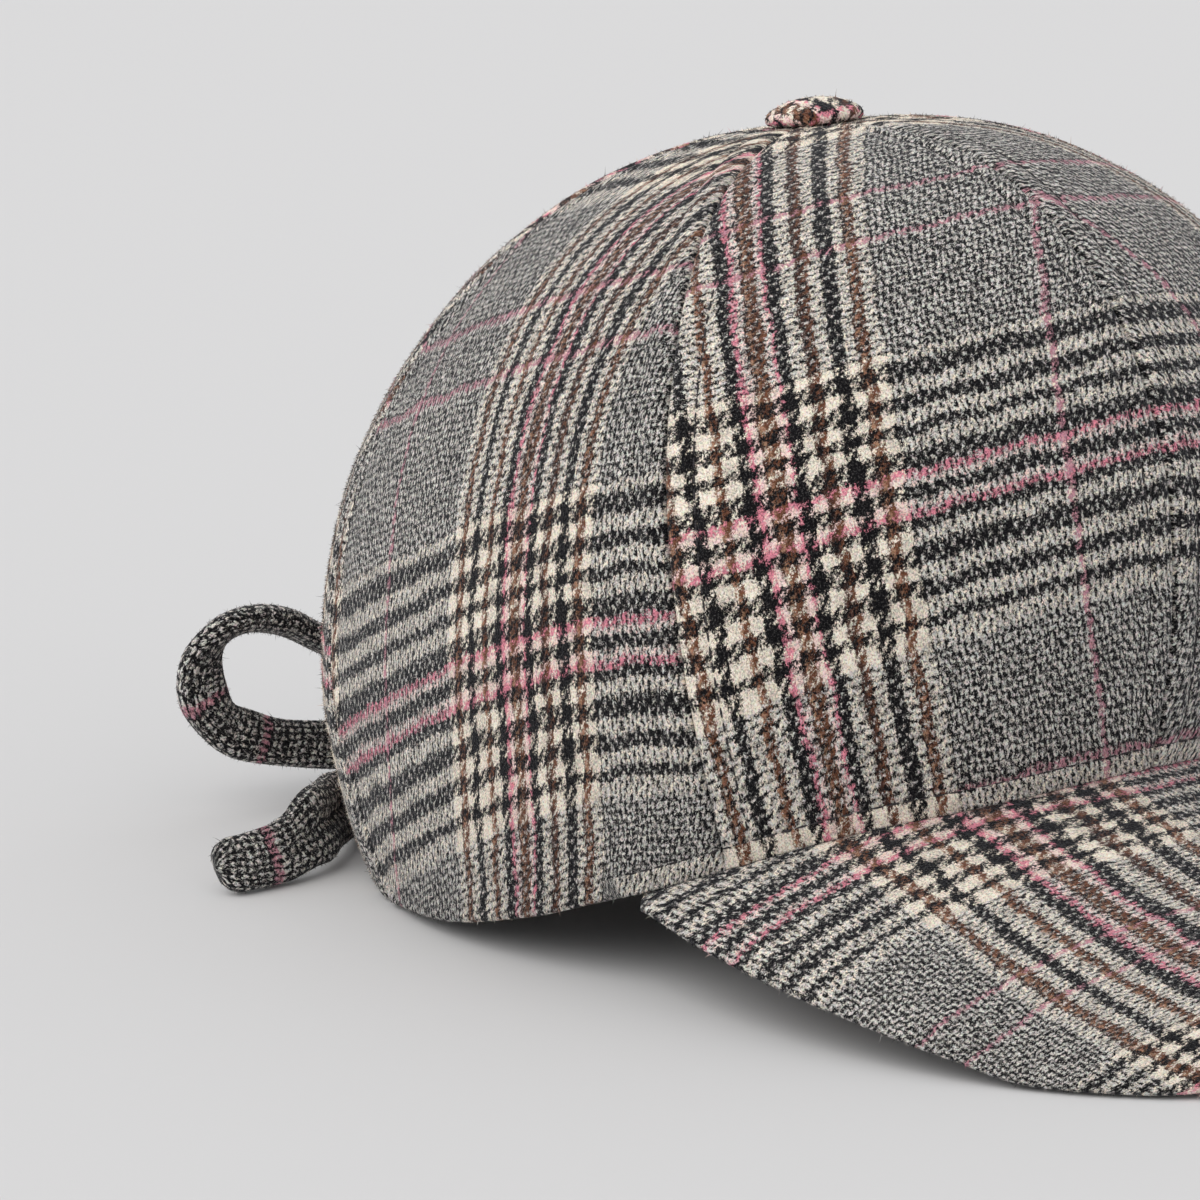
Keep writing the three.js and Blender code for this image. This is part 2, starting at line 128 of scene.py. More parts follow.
FOOT_STRIP = np.array([0, .12, .35, .7, 1.3, 2.0, 2.9, 3.3, 3.6, 3.65, 4.0, 5.0, 6.2, 8.0])
BAND_HEIGHT, BAND_WEFT, BAND_THREAD = 3.62, -38.2, 0.7
ROWS_LENGTH, ROWS_ABOVE_FOOT = 190.0, 72
GORE_COLUMNS, ARCH_COLUMNS, ARCH_MARGIN, STRIP_SHARE = 25, 12, 1.04, 0.42
LEVEL_BELOW, SMOOTH_BELOW = 6, 12
CHECK_MIDDLE, CHECK_UNIT = 90, 50


def smooth_table(rows, keys):
    """Heights between the rows of a table, on a curve that never overshoots them."""
    x, y = np.array(rows, float).T
    slope = np.diff(y) / np.diff(x)
    both = slope[:-1] * slope[1:]
    tangent = np.zeros(len(x))
    rising = both > 0
    tangent[1:-1][rising] = (2 * both[rising]) / (slope[:-1] + slope[1:])[rising]
    keys = np.asarray(keys, float)
    row = np.clip(np.searchsorted(x, keys) - 1, 0, len(x) - 2)
    span = x[row + 1] - x[row]
    t = np.clip((keys - x[row]) / span, 0, 1)
    return ((2 * t ** 3 - 3 * t ** 2 + 1) * y[row] + (t ** 3 - 2 * t ** 2 + t) * span * tangent[row]
            + (3 * t ** 2 - 2 * t ** 3) * y[row + 1] + (t ** 3 - t ** 2) * span * tangent[row + 1])


def rim_point(azimuth):
    """Foot of the crown, in millimetres from its axis; azimuth 0 is the front."""
    azimuth = np.asarray(azimuth, float)
    turn = np.radians(azimuth)
    radius = RIM_RADIUS * (1 + RIM_OVAL * np.cos(2 * turn))
    return np.stack([radius * np.sin(turn), -radius * np.cos(turn) + RIM_CENTRE_Y,
                     smooth_table(RIM_HEIGHTS, np.abs(azimuth))], -1)


def round_the_crown(terms, turn):
    """A size that differs between front and back, and between the sides and the middle."""
    return terms[0] + terms[1] * np.cos(turn) + terms[2] * np.cos(2 * turn)


def crown_point(azimuth, rise):
    """Outer face of the crown; rise goes from 0 at the rim to 1 at the top."""
    azimuth, rise = np.broadcast_arrays(np.asarray(azimuth, float), np.asarray(rise, float))
    turn = np.radians(azimuth)
    away = np.stack([np.sin(turn), -np.cos(turn), 0 * turn], -1)
    rim = rim_point(azimuth)
    top = np.array(CROWN_TOP)
    lean = np.radians(RIM_LEAN - RIM_LEAN_FRONT * np.cos(turn))
    rim_handle = away * np.sin(lean)[..., None]
    rim_handle[..., 2] = np.cos(lean)
    rim_handle = rim_handle * round_the_crown(RIM_HANDLE, turn)[..., None]
    top_handle = away * round_the_crown(TOP_HANDLE, turn)[..., None]
    top_handle[..., 2] = TOP_RISE[0] + TOP_RISE[1] * np.cos(turn)
    t = rise[..., None]
    return ((1 - t) ** 3 * rim + 3 * (1 - t) ** 2 * t * (rim + rim_handle)
            + 3 * (1 - t) * t * t * (top + top_handle) + t ** 3 * top)


def unit(vectors):
    """The same directions, one long."""
    return vectors / np.linalg.norm(vectors, axis=-1, keepdims=True)


def length_along(line):
    """Length along a line of points, up to each of them."""
    return np.concatenate([[0], np.cumsum(np.linalg.norm(np.diff(line, axis=0), axis=1))])


def crown_normal(azimuth, rise):
    """Direction straight out of the crown's outer face."""
    around = crown_point(azimuth + 0.5, rise) - crown_point(azimuth - 0.5, rise)
    up = crown_point(azimuth, rise + 0.004) - crown_point(azimuth, rise - 0.004)
    return unit(np.cross(around, up))


def seam_azimuth(plain, rise):
    """The seams bow: closer to the middle of the front at the rim, further round half way up."""
    rise = np.asarray(rise, float)
    if plain in (0, 180, -180):
        return plain + 0 * rise
    return plain + np.sign(plain) * (SEAM_BOW * 4 * rise * (1 - rise) - SEAM_TUCK * (1 - rise) ** 2)


def gore_width(start, end, rise):
    """Length across the gore from seam to seam, row by row."""
    shares = np.linspace(0, 1, 25)[:, None]
    left, right = seam_azimuth(start, rise), seam_azimuth(end, rise)
    line = crown_point(left + (right - left) * shares, rise + 0 * shares)
    return np.linalg.norm(np.diff(line, axis=0), axis=-1).sum(0)


def cloth_place(start, end, azimuth, rise):
    """Where a point lies on the flat cut gore: millimetres from its middle line and from its foot."""
    steps = np.linspace(0, 1, 201)
    middle = (seam_azimuth(start, steps) + seam_azimuth(end, steps)) / 2
    line = crown_point(middle, steps)
    length = length_along(line)
    degree = crown_point(middle + 0.5, steps) - crown_point(middle - 0.5, steps)
    spread = np.linalg.norm(degree, axis=1)
    bend = np.clip(-np.gradient(np.log(np.maximum(spread, 1e-6)), length), -0.03, 0.03)
    up = np.interp(rise, steps, length)
    curl = np.interp(rise, steps, bend)
    centre = (seam_azimuth(start, rise) + seam_azimuth(end, rise)) / 2
    off = np.zeros(azimuth.shape)
    before = crown_point(centre, rise)
    for step in range(1, 13):
        now = crown_point(centre + (azimuth - centre) * step / 12, rise)
        off = off + np.linalg.norm(now - before, axis=-1)
        before = now
    off = off * np.sign(azimuth - centre)
    turn = curl * off
    straight = np.abs(turn) < 1e-3
    safe = np.where(straight, 1.0, curl)
    return (np.where(straight, off, np.sin(turn) / safe),
            up + np.where(straight, curl * off * off / 2, (1 - np.cos(turn)) / safe))


def soft_hills(point):
    """The slight waviness of steamed cloth, in millimetres, the same for neighbouring pieces."""
    x, y, z = point[..., 0], point[..., 1], point[..., 2]
    return (0.34 * np.sin(x / 17 + 1.3 * np.sin(y / 29) + 0.4) * np.sin(y / 19 + z / 23 + 1.1)
            + 0.22 * np.sin(x / 9.1 - z / 12.7 + 2.0) * np.sin(y / 11.3 + z / 10.1)
            + 0.10 * np.sin(x / 4.3 + y / 5.1) * np.sin(z / 4.9 - y / 6.7 + 0.7))


def raise_nap(mesh, amounts):
    """Keep with each point how densely the pile grows there."""
    nap = mesh.attributes.new("nap", "FLOAT", "POINT")
    nap.data.foreach_set("value", np.asarray(amounts, np.float32))


def cloth_mesh(name, points, faces, counts):
    """A smooth mesh with the thread counts, warp and weft, at every corner of its faces."""
    mesh = bpy.data.meshes.new(name)
    mesh.from_pydata(points, [], faces)
    layer = mesh.uv_layers.new(name="weave")
    layer.data.foreach_set("uv", np.asarray(counts, np.float32).reshape(-1))
    mesh.polygons.foreach_set("use_smooth", [True] * len(mesh.polygons))
    return mesh


def merge_points(mesh, distance):
    """Join the points that lie together, at seams and poles, and face everything outward."""
    joined = bmesh.new()
    joined.from_mesh(mesh)
    bmesh.ops.remove_doubles(joined, verts=joined.verts, dist=distance)
    bmesh.ops.recalc_face_normals(joined, faces=joined.faces)
    joined.to_mesh(mesh)
    joined.free()


def shell_piece(name, outer, inner, cloth):
    """A closed wall between two grids of points, with the same thread counts on both faces."""
    rows, columns = outer.shape[:2]
    count = rows * columns
    index = np.arange(count).reshape(rows, columns)
    a, b, c, d = index[:-1, :-1], index[:-1, 1:], index[1:, 1:], index[1:, :-1]
    quads = [np.stack([a, b, c, d], -1).reshape(-1, 4),
             np.stack([a, d, c, b], -1).reshape(-1, 4) + count]
    rim = [(index[:, 0], True), (index[:, -1], False), (index[0], False), (index[-1], True)]
    for line, forward in rim:
        near, far = (line[:-1], line[1:]) if forward else (line[1:], line[:-1])
        quads.append(np.stack([near, far, far + count, near + count], -1))
    faces = np.concatenate(quads)
    points = np.concatenate([outer.reshape(-1, 3), inner.reshape(-1, 3)]) / 1000
    points[:, 1] += AXIS_Y
    mesh = cloth_mesh(name, points.tolist(), faces.tolist(), cloth.reshape(-1, 2)[faces % count])
    raise_nap(mesh, np.repeat([1.0, 0.0], count))
    merge_points(mesh, 2e-6)
    return put(name, mesh)


def arch_height(x):
    """Top of the rear opening above the floor, at a distance from the middle of the back."""
    return ARCH_HEIGHT * np.sqrt(np.maximum(0.0, 1 - (x / ARCH_HALF_WIDTH) ** 2))


class Thread:
    """A socket of a node tree; sums, products and tests on it add the nodes they need."""

    def __init__(self, tree, socket):
        self.tree = tree
        self.socket = socket

    def make(self, kind, settings=None, inputs=None, output=0):
        """A new node with its settings and inputs, as the socket that it gives out."""
        node = self.tree.nodes.new(kind)
        for name, setting in (settings or {}).items():
            if name != "stops":
                setattr(node, name, setting)
                continue
            ramp = node.color_ramp
            ramp.interpolation = "CONSTANT"
            while len(ramp.elements) < len(setting):
                ramp.elements.new(1.0)
            for stop, (position, colour) in zip(ramp.elements, setting):
                stop.position = position
            for stop, (position, colour) in zip(ramp.elements, setting):
                stop.color = colour
        for name, value in (inputs or {}).items():
            if isinstance(value, Thread):
                self.tree.links.new(value.socket, node.inputs[name])
            else:
                node.inputs[name].default_value = value
        return Thread(self.tree, node.outputs[output])

    def also(self, output):
        """Another output of the node that this socket belongs to."""
        return Thread(self.tree, self.socket.node.outputs[output])

    def sum(self, operation, *values):
        """What a maths node makes of the values."""
        return self.make("ShaderNodeMath", {"operation": operation}, dict(enumerate(values)))

    def __add__(self, other):
        return self.sum("ADD", self, other)

    __radd__ = __add__

    def __sub__(self, other):
        return self.sum("SUBTRACT", self, other)

    def __rsub__(self, other):
        return self.sum("SUBTRACT", other, self)

    def __mul__(self, other):
        return self.sum("MULTIPLY", self, other)

    __rmul__ = __mul__

    def __truediv__(self, other):
        return self.sum("DIVIDE", self, other)

    def __mod__(self, other):
        return self.sum("FLOORED_MODULO", self, other)

    def __pow__(self, other):
        return self.sum("POWER", self, other)

    def __lt__(self, other):
        return self.sum("LESS_THAN", self, other)

    def __gt__(self, other):
        return self.sum("GREATER_THAN", self, other)

    def __abs__(self):
        return self.sum("ABSOLUTE", self)

    def floor(self):
        return self.sum("FLOOR", self)

    def clamp(self, low=0.0, high=1.0):
        """This socket, held between the two values."""
        return self.sum("MAXIMUM", self.sum("MINIMUM", self, high), low)

    def between(self, low, high):
        """1 where this socket lies between the two values, and 0 elsewhere."""
        return (self > low) * (self < high)

    def blend(self, first, second):
        """first where this socket is 0 and second where it is 1, for colours."""
        return self.make("ShaderNodeMix", {"data_type": "RGBA"},
                         {"Factor": self, 6: first, 7: second}, 2)


INK, CREAM, BROWN, PINK = linear("121114"), linear("f1e9da"), linear("6f4936"), linear("db8a9b")
ROSE, TAN, DARK_BROWN = linear("f3d8d2"), linear("a37c64"), linear("4d342b")
GROUND_DARK, GROUND_LIGHT, OVERCHECK = linear("121215"), linear("d6d5d0"), linear("c28f9b")
NAP = linear("b8b5b1")
BROWNS = "D1 T1 B2"
WARP_GROUP = (f"C4 {BROWNS} C4 I4 C4 {BROWNS} C4 I4 P2 R2 {BROWNS} R2 P2 I4 C4 {BROWNS} C4 I4 "
              f"C4 {BROWNS} C4")
WEFT_GROUP = "C4 I4 C4 I4 C4 I4 C4 I4 P2 R2 I4 R2 P2 I4 C4 I4 C4 I4 C4 I4 C4"
WARP_REPEAT, WEFT_REPEAT, GROUP = 176, 166, 76
WARP_LINES, WEFT_LINES, LINE_THREADS = (126,), (112, 130), 2
THREAD_ACROSS, THREAD_ALONG = 0.65, 0.76
YARNS = {"I": INK, "C": CREAM, "D": DARK_BROWN, "B": BROWN, "T": TAN, "P": PINK, "R": ROSE}


def yarn_stops(group, repeat):
    """Where each yarn of a striped group begins, as a share of the whole repeat."""
    stops, place = [], 0
    for band in group.split():
        stops.append((place / repeat, YARNS[band[0]]))
        place += int(band[1:])
    return stops


def check_tweed(name, hair_cover, tone_and_painted_shade):
    """Brushed two-and-two twill in a glen check, drawn from the thread counts on the cloth.

    hair_cover is how much of the weave lies under dark hairs, and the last value scales all the yarns'
    colours; the bow's lower value is painted shade.
    """
    cloth, shader = new_material(name)
    tree = cloth.node_tree
    start = Thread(tree, None)
    weave = start.make("ShaderNodeAttribute", {"attribute_name": "weave"}, {}, "Vector")

    def noise(scale, detail, rough, output="Fac", shift=0.0):
        """Noise over the threads; the scale is in waves to a thread."""
        place = start.make("ShaderNodeVectorMath", {"operation": "ADD"}, {0: weave, 1: (shift, shift, 0)})
        return start.make("ShaderNodeTexNoise", {"noise_dimensions": "2D"},
                          {"Vector": place, "Scale": scale, "Detail": detail, "Roughness": rough}, output)

    def wander(place, field, amount):
        """place moved by a coloured noise, up to about half the amount each way, in threads."""
        moved = start.make("ShaderNodeVectorMath", {"operation": "MULTIPLY_ADD"},
                           {0: field, 1: (amount, amount, 0), 2: place})
        return start.make("ShaderNodeVectorMath", {"operation": "SUBTRACT"},
                          {0: moved, 1: (amount / 2, amount / 2, 0)})

    def yarn(count, group, repeat, lines):
        """Colour of the thread with this count: a striped group, then plain ground with thin lines."""
        place = (count + GROUP / 2 + 0.5) % repeat
        bands = start.make("ShaderNodeValToRGB", {"stops": yarn_stops(group, repeat)},
                           {"Fac": place / repeat})
        plain = (count % 2.0).between(0.5, 1.5).blend(GROUND_DARK, GROUND_LIGHT)
        for line in lines:
            plain = place.between(line, line + LINE_THREADS).blend(plain, OVERCHECK)
        return (place < GROUP).blend(plain, bands)

    def ridge(side, length):
        """A float is a soft ridge that dives under its neighbours at both ends."""
        width = abs(side % 1.0 - 0.5) * 2.0
        ends = abs(length - 1.0)
        return (1.0 - width * width * 0.75) * (1.0 - ends * ends * ends * 0.7)

    def twill(place, hairs):
        """Colour and height of the cloth: each warp end passes over two picks, in steps of one.

        Where hairs is 1, brushed hair covers the weave, and the darker of the two yarns shows.
        """
        across = start.make("ShaderNodeSeparateXYZ", {}, {"Vector": place})
        along = across.also("Y")
        warp, weft = across.floor(), along.floor()
        warp_up = ((along - warp + 1.0) % 4.0) < 2.25
        pick = yarn(weft, WEFT_GROUP, WEFT_REPEAT, WEFT_LINES)
        end = yarn(warp, WARP_GROUP, WARP_REPEAT, WARP_LINES)
        darker = start.make("ShaderNodeMix", {"data_type": "RGBA", "blend_type": "DARKEN"},
                            {"Factor": 1.0, 6: pick, 7: end}, 2)
        colour = hairs.blend(warp_up.blend(pick, end), darker)
        height = (warp_up * ridge(across, (along - warp + 1.0) % 4.0)
                  + (1.0 - warp_up) * ridge(along, (across - weft - 2.0) % 4.0))
        return colour, height

    # The threads wander, and the brushed hairs carry each colour over its edges: the weave is
    # drawn twice, moved two different ways, and the hairs pick between the two.
    calm = wander(weave, noise(0.09, 2.0, 0.6, "Color"), 3.8)
    hairs = ((noise(1.1, 3.0, 0.7, "Fac", 51.0) - 1.0 + hair_cover) * 7.0).clamp()
    first, height = twill(wander(calm, noise(0.65, 2.0, 0.65, "Color"), 3.0), hairs)
    second = twill(wander(calm, noise(0.75, 2.0, 0.7, "Color", 37.0), 4.4), hairs)[0]
    strands = noise(1.7, 3.0, 0.75, "Fac", 11.0)
    colour = ((strands - 0.40) * 3.5).clamp().blend(first, second)
    dye = start.make("ShaderNodeVectorMath", {"operation": "MULTIPLY_ADD"},
                     {0: noise(0.9, 3.0, 0.8, "Color", 91.0), 1: (0.6, 0.4, 0.4), 2: (0.73, 0.80, 0.79)})
    colour = start.make("ShaderNodeVectorMath", {"operation": "MULTIPLY"}, {0: colour, 1: dye})
    fluff = noise(1.7, 3.0, 0.75, "Fac", 5.0)
    patch = noise(0.16, 3.0, 0.65, "Fac", 23.0)
    # The colour is scaled by the material's tone value, by painted shade in the hollows of the weave
    # (darker where the floats dive under their neighbours), and by random lighter and darker flecks and
    # patches.
    shade = tone_and_painted_shade + 0.36 * height + (fluff - 0.5) * 2.5 + (patch - 0.5) * 0.9
    lit = start.make("ShaderNodeVectorMath", {"operation": "SCALE"},
                     {0: colour, "Scale": shade.clamp(0.35, 1.4)})
    nap = ((fluff - 0.55) * 1.3).clamp(0.0, 0.2)
    tree.links.new(nap.blend(lit, NAP).socket, shader.inputs["Base Color"])
    bump = start.make("ShaderNodeBump", {}, {"Strength": 0.8, "Distance": 0.0004,
                                             "Height": height * 0.7 + fluff * 0.9})
    tree.links.new(bump.socket, shader.inputs["Normal"])
    shader.inputs["Roughness"].default_value = 0.95
    shader.inputs["Specular IOR Level"].default_value = 0.1
    shader.inputs["Sheen Weight"].default_value = 0.16
    shader.inputs["Sheen Roughness"].default_value = 0.32
    shader.inputs["Sheen Tint"].default_value = linear("e4e8f4")
    return cloth


crown_tweed = check_tweed("crown_tweed", 0.56, 0.8)


def weave_sum(counts, x, y):
    """Thread count at a place on the cloth, from the counts along and across the cut piece."""
    terms = (1, x, y, x * y, x * x, y * y, x * y * y, y ** 3, x * x * y, x ** 3)
    return sum(count * term for count, term in zip(counts, terms))


def other_side(counts, turn=1):
    """The counts on the matching piece of the other side; turn is -1 for the warp."""
    signs = (1, -1, 1, -1, 1, 1, -1, 1, 1, -1)
    return [turn * sign * count for sign, count in zip(signs, counts)]


def strip_fit(width):
    """How much of their full width the seam strips keep where the gore is this wide."""
    return np.minimum(1.0, STRIP_SHARE * width / SEAM_STRIP[-1])


def column_shares(foot_width, over_arch):
    """Where the columns between the two seam strips stand, as shares of the gore's width."""
    if not over_arch:
        return np.linspace(0, 1, GORE_COLUMNS)[1:-1]
    near = ARCH_MARGIN * ARCH_HALF_WIDTH * np.sin(np.linspace(0.21, 1, ARCH_COLUMNS) * np.pi / 2)
    edge = SEAM_STRIP[-1]
    beyond = np.linspace(near[-1], foot_width - edge, GORE_COLUMNS - ARCH_COLUMNS)
    middle = np.concatenate([near[1:], beyond[1:-1]])
    if over_arch > 0:
        middle = foot_width - middle[::-1]
    return (middle - edge) / (foot_width - 2 * edge)


def gore_grid(start, end, over_arch):
    """Azimuth, rise and width of the gore at every point, its rows' shares, and its foot."""
    rise_steps = np.linspace(0, 1, 101)
    widths = gore_width(start, end, rise_steps)
    middle = column_shares(widths[0], over_arch)

    def azimuths(rise):
        """Azimuth of every column at a rise; the strips beside the seams keep their width."""
        rise = np.asarray(rise, float)[..., None]
        width = np.interp(rise, rise_steps, widths)
        fit = strip_fit(width) / width
        left = SEAM_STRIP * fit
        edge = SEAM_STRIP[-1] * fit
        share = np.concatenate([left, edge + (1 - 2 * edge) * middle, (1 - left)[..., ::-1]], -1)
        first, last = seam_azimuth(start, rise), seam_azimuth(end, rise)
        return first + (last - first) * share

    columns = 2 * len(SEAM_STRIP) + len(middle)
    feet = np.zeros(columns)
    if over_arch:
        low, high = np.zeros(columns), np.full(columns, 0.6)
        for step in range(32):
            half = (low + high) / 2
            point = crown_point(azimuths(half)[np.arange(columns), np.arange(columns)], half)
            clear = point[:, 2] >= arch_height(point[:, 0])
            low, high = np.where(clear, low, half), np.where(clear, half, high)
        foot = crown_point(azimuths(np.array([0.0]))[0], 0.0)
        feet = np.where(np.abs(foot[:, 0]) < ARCH_HALF_WIDTH, high, 0.0)
    foot_rows = FOOT_STRIP / ROWS_LENGTH
    rows = np.concatenate([foot_rows, np.linspace(foot_rows[-1], 1, ROWS_ABOVE_FOOT)[1:]])
    rise = feet + (GORE_TOP - feet) * rows[:, None]
    azimuth = np.stack([azimuths(rise[:, k])[:, k] for k in range(columns)], 1)
    return azimuth, rise, np.interp(rise, rise_steps, widths), rows, feet


def gore_relief(share, width, from_foot, azimuth, hills):
    """How far the outer and the inner face stand off the smooth crown: folds, rolls and stitches."""
    from_seam = np.minimum(share, 1 - share) * width
    fit = strip_fit(width)
    flat = from_seam / np.maximum(fit, 0.02)
    roll = SEAM_ROLL - np.sqrt(np.maximum(0, SEAM_ROLL ** 2 - np.maximum(0, SEAM_ROLL - flat) ** 2))
    plump = SEAM_PLUMP * np.sin(np.pi * np.clip((flat - 0.8) / (STITCH_FROM_SEAM - 0.8), 0, 1)) ** 2
    stitch = STITCH_DIMPLE * np.exp(-((flat - STITCH_FROM_SEAM) / 0.5) ** 2)
    beside_peak = np.clip((np.abs(azimuth[0]) - PEAK_END + 1) / 4, 0, 1)
    fold = PEAK_SEAM_FOLD + (HEM_FOLD - PEAK_SEAM_FOLD) * beside_peak
    turned = fold - np.sqrt(np.maximum(0, fold ** 2 - np.maximum(0, fold - from_foot) ** 2))
    sewn = STITCH_DIMPLE * np.exp(-((from_foot - BAND_HEIGHT) / 0.45) ** 2) * (1 - beside_peak)
    hills = hills * np.clip(from_foot / SMOOTH_BELOW, 0, 1) - sewn
    hem = HEM_THICKNESS * np.clip((HEM_HEIGHT - from_foot) / 0.8, 0, 1) * np.clip(from_foot / 3, 0, 1)
    outside = hills - turned + (plump - stitch - roll * np.clip(from_foot / 2, 0.3, 1)) * fit
    return outside, hills * 0.5 - WALL + turned - hem


def make_gore(name, start, end, warp_count, weft_count, over_arch):
    """One gore between two seams; over_arch says which of its sides the rear opening cuts, if any."""
    azimuth, rise, width, rows, feet = gore_grid(start, end, over_arch)
    point, normal = crown_point(azimuth, rise), crown_normal(azimuth, rise)
    share = (azimuth - seam_azimuth(start, rise)) / (seam_azimuth(end, rise) - seam_azimuth(start, rise))
    from_foot = rows[:, None] * ROWS_LENGTH + 0 * width
    outside, inside = gore_relief(share, width, from_foot, azimuth, soft_hills(point))
    # Near the rim both faces stand off level, so that the foot keeps its height.
    level = unit(normal * (1, 1, 0))
    lie = np.where(feet == 0, np.clip(from_foot / LEVEL_BELOW, 0, 1), 1.0)[..., None]
    normal = unit(level * (1 - lie) + normal * lie)
    x, y = cloth_place(start, end, azimuth, rise)
    x, y = x / CHECK_UNIT, (y - CHECK_MIDDLE) / CHECK_UNIT
    warp, weft = weave_sum(warp_count, x, y), weave_sum(weft_count, x, y)
    band = (from_foot < BAND_HEIGHT) & (np.abs(azimuth) < PEAK_END + 3)
    weft = np.where(band, BAND_WEFT + from_foot / BAND_THREAD, weft)
    return shell_piece(name, point + normal * outside[..., None], point + normal * inside[..., None],
                       np.stack([warp, weft], -1))


def open_tree(name, shape, sizes):
    """An empty Geometry Nodes tree with named inputs: the tree, its start and its input sockets."""
    tree = bpy.data.node_groups.new(name, "GeometryNodeTree")
    for label, kind in ((shape, "Geometry"), *sizes, ("Material", "Material")):
        tree.interface.new_socket(label, in_out="INPUT", socket_type="NodeSocket" + kind)
    tree.interface.new_socket(shape, in_out="OUTPUT", socket_type="NodeSocketGeometry")
    start = Thread(tree, None)
    return tree, start, start.make("NodeGroupInput")


def stored(start, name, kind):
    """What a mesh keeps under this name."""
    return start.make("GeometryNodeInputNamedAttribute", {"data_type": kind}, {"Name": name}, "Attribute")


def copies(points, shape, upright, sideways, size):
    """Copies of a shape on the points as one mesh, with Z along upright and X towards sideways."""
    turn = points.make("FunctionNodeAxesToRotation", {"primary_axis": "Z", "secondary_axis": "X"},
                       {"Primary Axis": upright, "Secondary Axis": sideways})
    placed = points.make("GeometryNodeInstanceOnPoints", {},
                         {"Points": points, "Instance": shape, "Rotation": turn, "Scale": size})
    return points.make("GeometryNodeRealizeInstances", {}, {"Geometry": placed})


def close_tree(tree, shape, material):
    """End the tree with the material set on the shape."""
    dressed = shape.make("GeometryNodeSetMaterial", {}, {"Geometry": shape, "Material": material})
    end = tree.nodes.new("NodeGroupOutput")
    tree.links.new(dressed.socket, end.inputs[0])
    return tree


def pile_tree():
    """Short brushed hairs all over the outside: thin closed slivers that lean about at random."""
    tree, start, given = open_tree("brushed_pile", "Cloth", (
        ("Hairs per square metre", "Float"), ("Hair length", "Float"), ("Hair width", "Float"),
        ("Seed", "Int")))
    nap = stored(start, "nap", "FLOAT")
    roots = start.make("GeometryNodeDistributePointsOnFaces", {"distribute_method": "RANDOM"},
                       {"Mesh": given, "Density": given.also(1) * nap, "Seed": given.also(4)})
    spread = start.make("FunctionNodeRandomValue", {"data_type": "FLOAT_VECTOR"},
                        {"Min": (-1.1, -1.1, -1.4), "Max": (1.1, 1.1, 0.6), "Seed": 3}, "Value")
    lean = start.make("ShaderNodeVectorMath", {"operation": "ADD"}, {0: roots.also("Normal"), 1: spread})
    chance = start.make("FunctionNodeRandomValue", {"data_type": "FLOAT"}, {2: 0.0, 3: 1.0, "Seed": 8}, 1)
    reach = given.also(2) * (0.5 + 0.5 * chance + 2.0 * chance ** 40.0)
    size = start.make("ShaderNodeCombineXYZ", {}, {"X": given.also(3), "Y": given.also(3), "Z": reach})
    sliver = start.make("GeometryNodeMeshCone", {"fill_type": "TRIANGLE_FAN"},
                        {"Vertices": 3, "Side Segments": 1, "Radius Top": 0.0, "Radius Bottom": 1.0,
                         "Depth": 1.0})
    hairs = copies(roots, sliver, lean, roots.also("Normal"), size)
    both = start.make("GeometryNodeJoinGeometry")
    tree.links.new(hairs.socket, both.socket.node.inputs[0])
    tree.links.new(given.socket, both.socket.node.inputs[0])
    return close_tree(tree, both, given.also(5))


def grow(piece, tree, values):
    """Run a Geometry Nodes tree on a piece and keep what it makes as the piece's plain mesh."""
    made = piece.modifiers.new(tree.name, "NODES")
    made.node_group = tree
    for item in tree.interface.items_tree:
        if item.in_out == "INPUT" and item.name in values:
            made[item.identifier] = values[item.name]
    bpy.context.view_layer.update()
    whole = bpy.data.meshes.new_from_object(piece.evaluated_get(bpy.context.evaluated_depsgraph_get()))
    piece.modifiers.remove(made)
    piece.data = whole
    whole.name = piece.name


brushed_pile = pile_tree()
PILE_SIZE = {"Hairs per square metre": 0.8e6, "Hair length": 0.0007, "Hair width": 0.00006}


def brush(piece, seed, cloth=crown_tweed):
    """Raise the pile on a piece, wherever its nap is 1."""
    grow(piece, brushed_pile, {**PILE_SIZE, "Seed": seed, "Material": cloth})


# Counts for weave_sum, warp and weft, of the gores that the camera sees.
FRONT_WARP = (44.05, 80.91, -3.84, -1.11, -0.27, -5.0, 1.02, 0.11, -1.31, -1.56)
FRONT_WEFT = (38.08, -6.94, 71.8, -2.45, -9.95, -0.8, -1.97, -3.02, -11.54, 1.68)
SIDE_WARP = (-39.62, 112.59, 6.36, -0.98, -0.14, 5.25, -3.94, -4.5, 2.71, -4.55)
SIDE_WEFT = (55.4, -15.53, 62.1, -0.41, -1.18, -3.11, 0.25, -1.1, -10.41, 3.63)
# Columns: name, azimuths of its two seams, warp and weft counts, side that the opening cuts.
GORES = [
    ("front_right", -60, 0, FRONT_WARP, FRONT_WEFT, 0),
    ("side_right", -120, -60, SIDE_WARP, SIDE_WEFT, 0),
    ("rear_right", -180, -120, (-32, 77.5), (58.3, 0, 65.4), -1),
    ("front_left", 0, 60, other_side(FRONT_WARP, -1), other_side(FRONT_WEFT), 0),
    ("side_left", 60, 120, (29.5, 77.5), (58.3, 0, 65.4), 0),
    ("rear_left", 120, 180, (32, 77.5), (58.3, 0, 65.4), 1),
]
for gore_seed, (gore_name, gore_start, gore_end, gore_warp, gore_weft, gore_arch) in enumerate(GORES):
    gore = make_gore("gore_" + gore_name, gore_start, gore_end, gore_warp, gore_weft, gore_arch)
    brush(gore, gore_seed)
    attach(gore, "root")
    side_of, left_or_right = gore_name.split("_")
    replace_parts(gore, f"crown_panel_{side_of}_{left_or_right}")

# Topstitching. A row of dark cotton stitches holds each seam allowance down, six millimetres
# from the seam: on the gore nearer the front, and on both gores at the front and back seams.
# One more row runs just above the peak.
STITCH_PITCH, STITCH_SINK = 2.9, 0.22
STITCH_SIZE = {"Stitch length": 0.0023, "Thread width": 0.00042, "Thread height": 0.00034}
STITCHED_FROM, STITCHED_TO, ARCH_CLEAR = 0.026, 0.93, 4.0


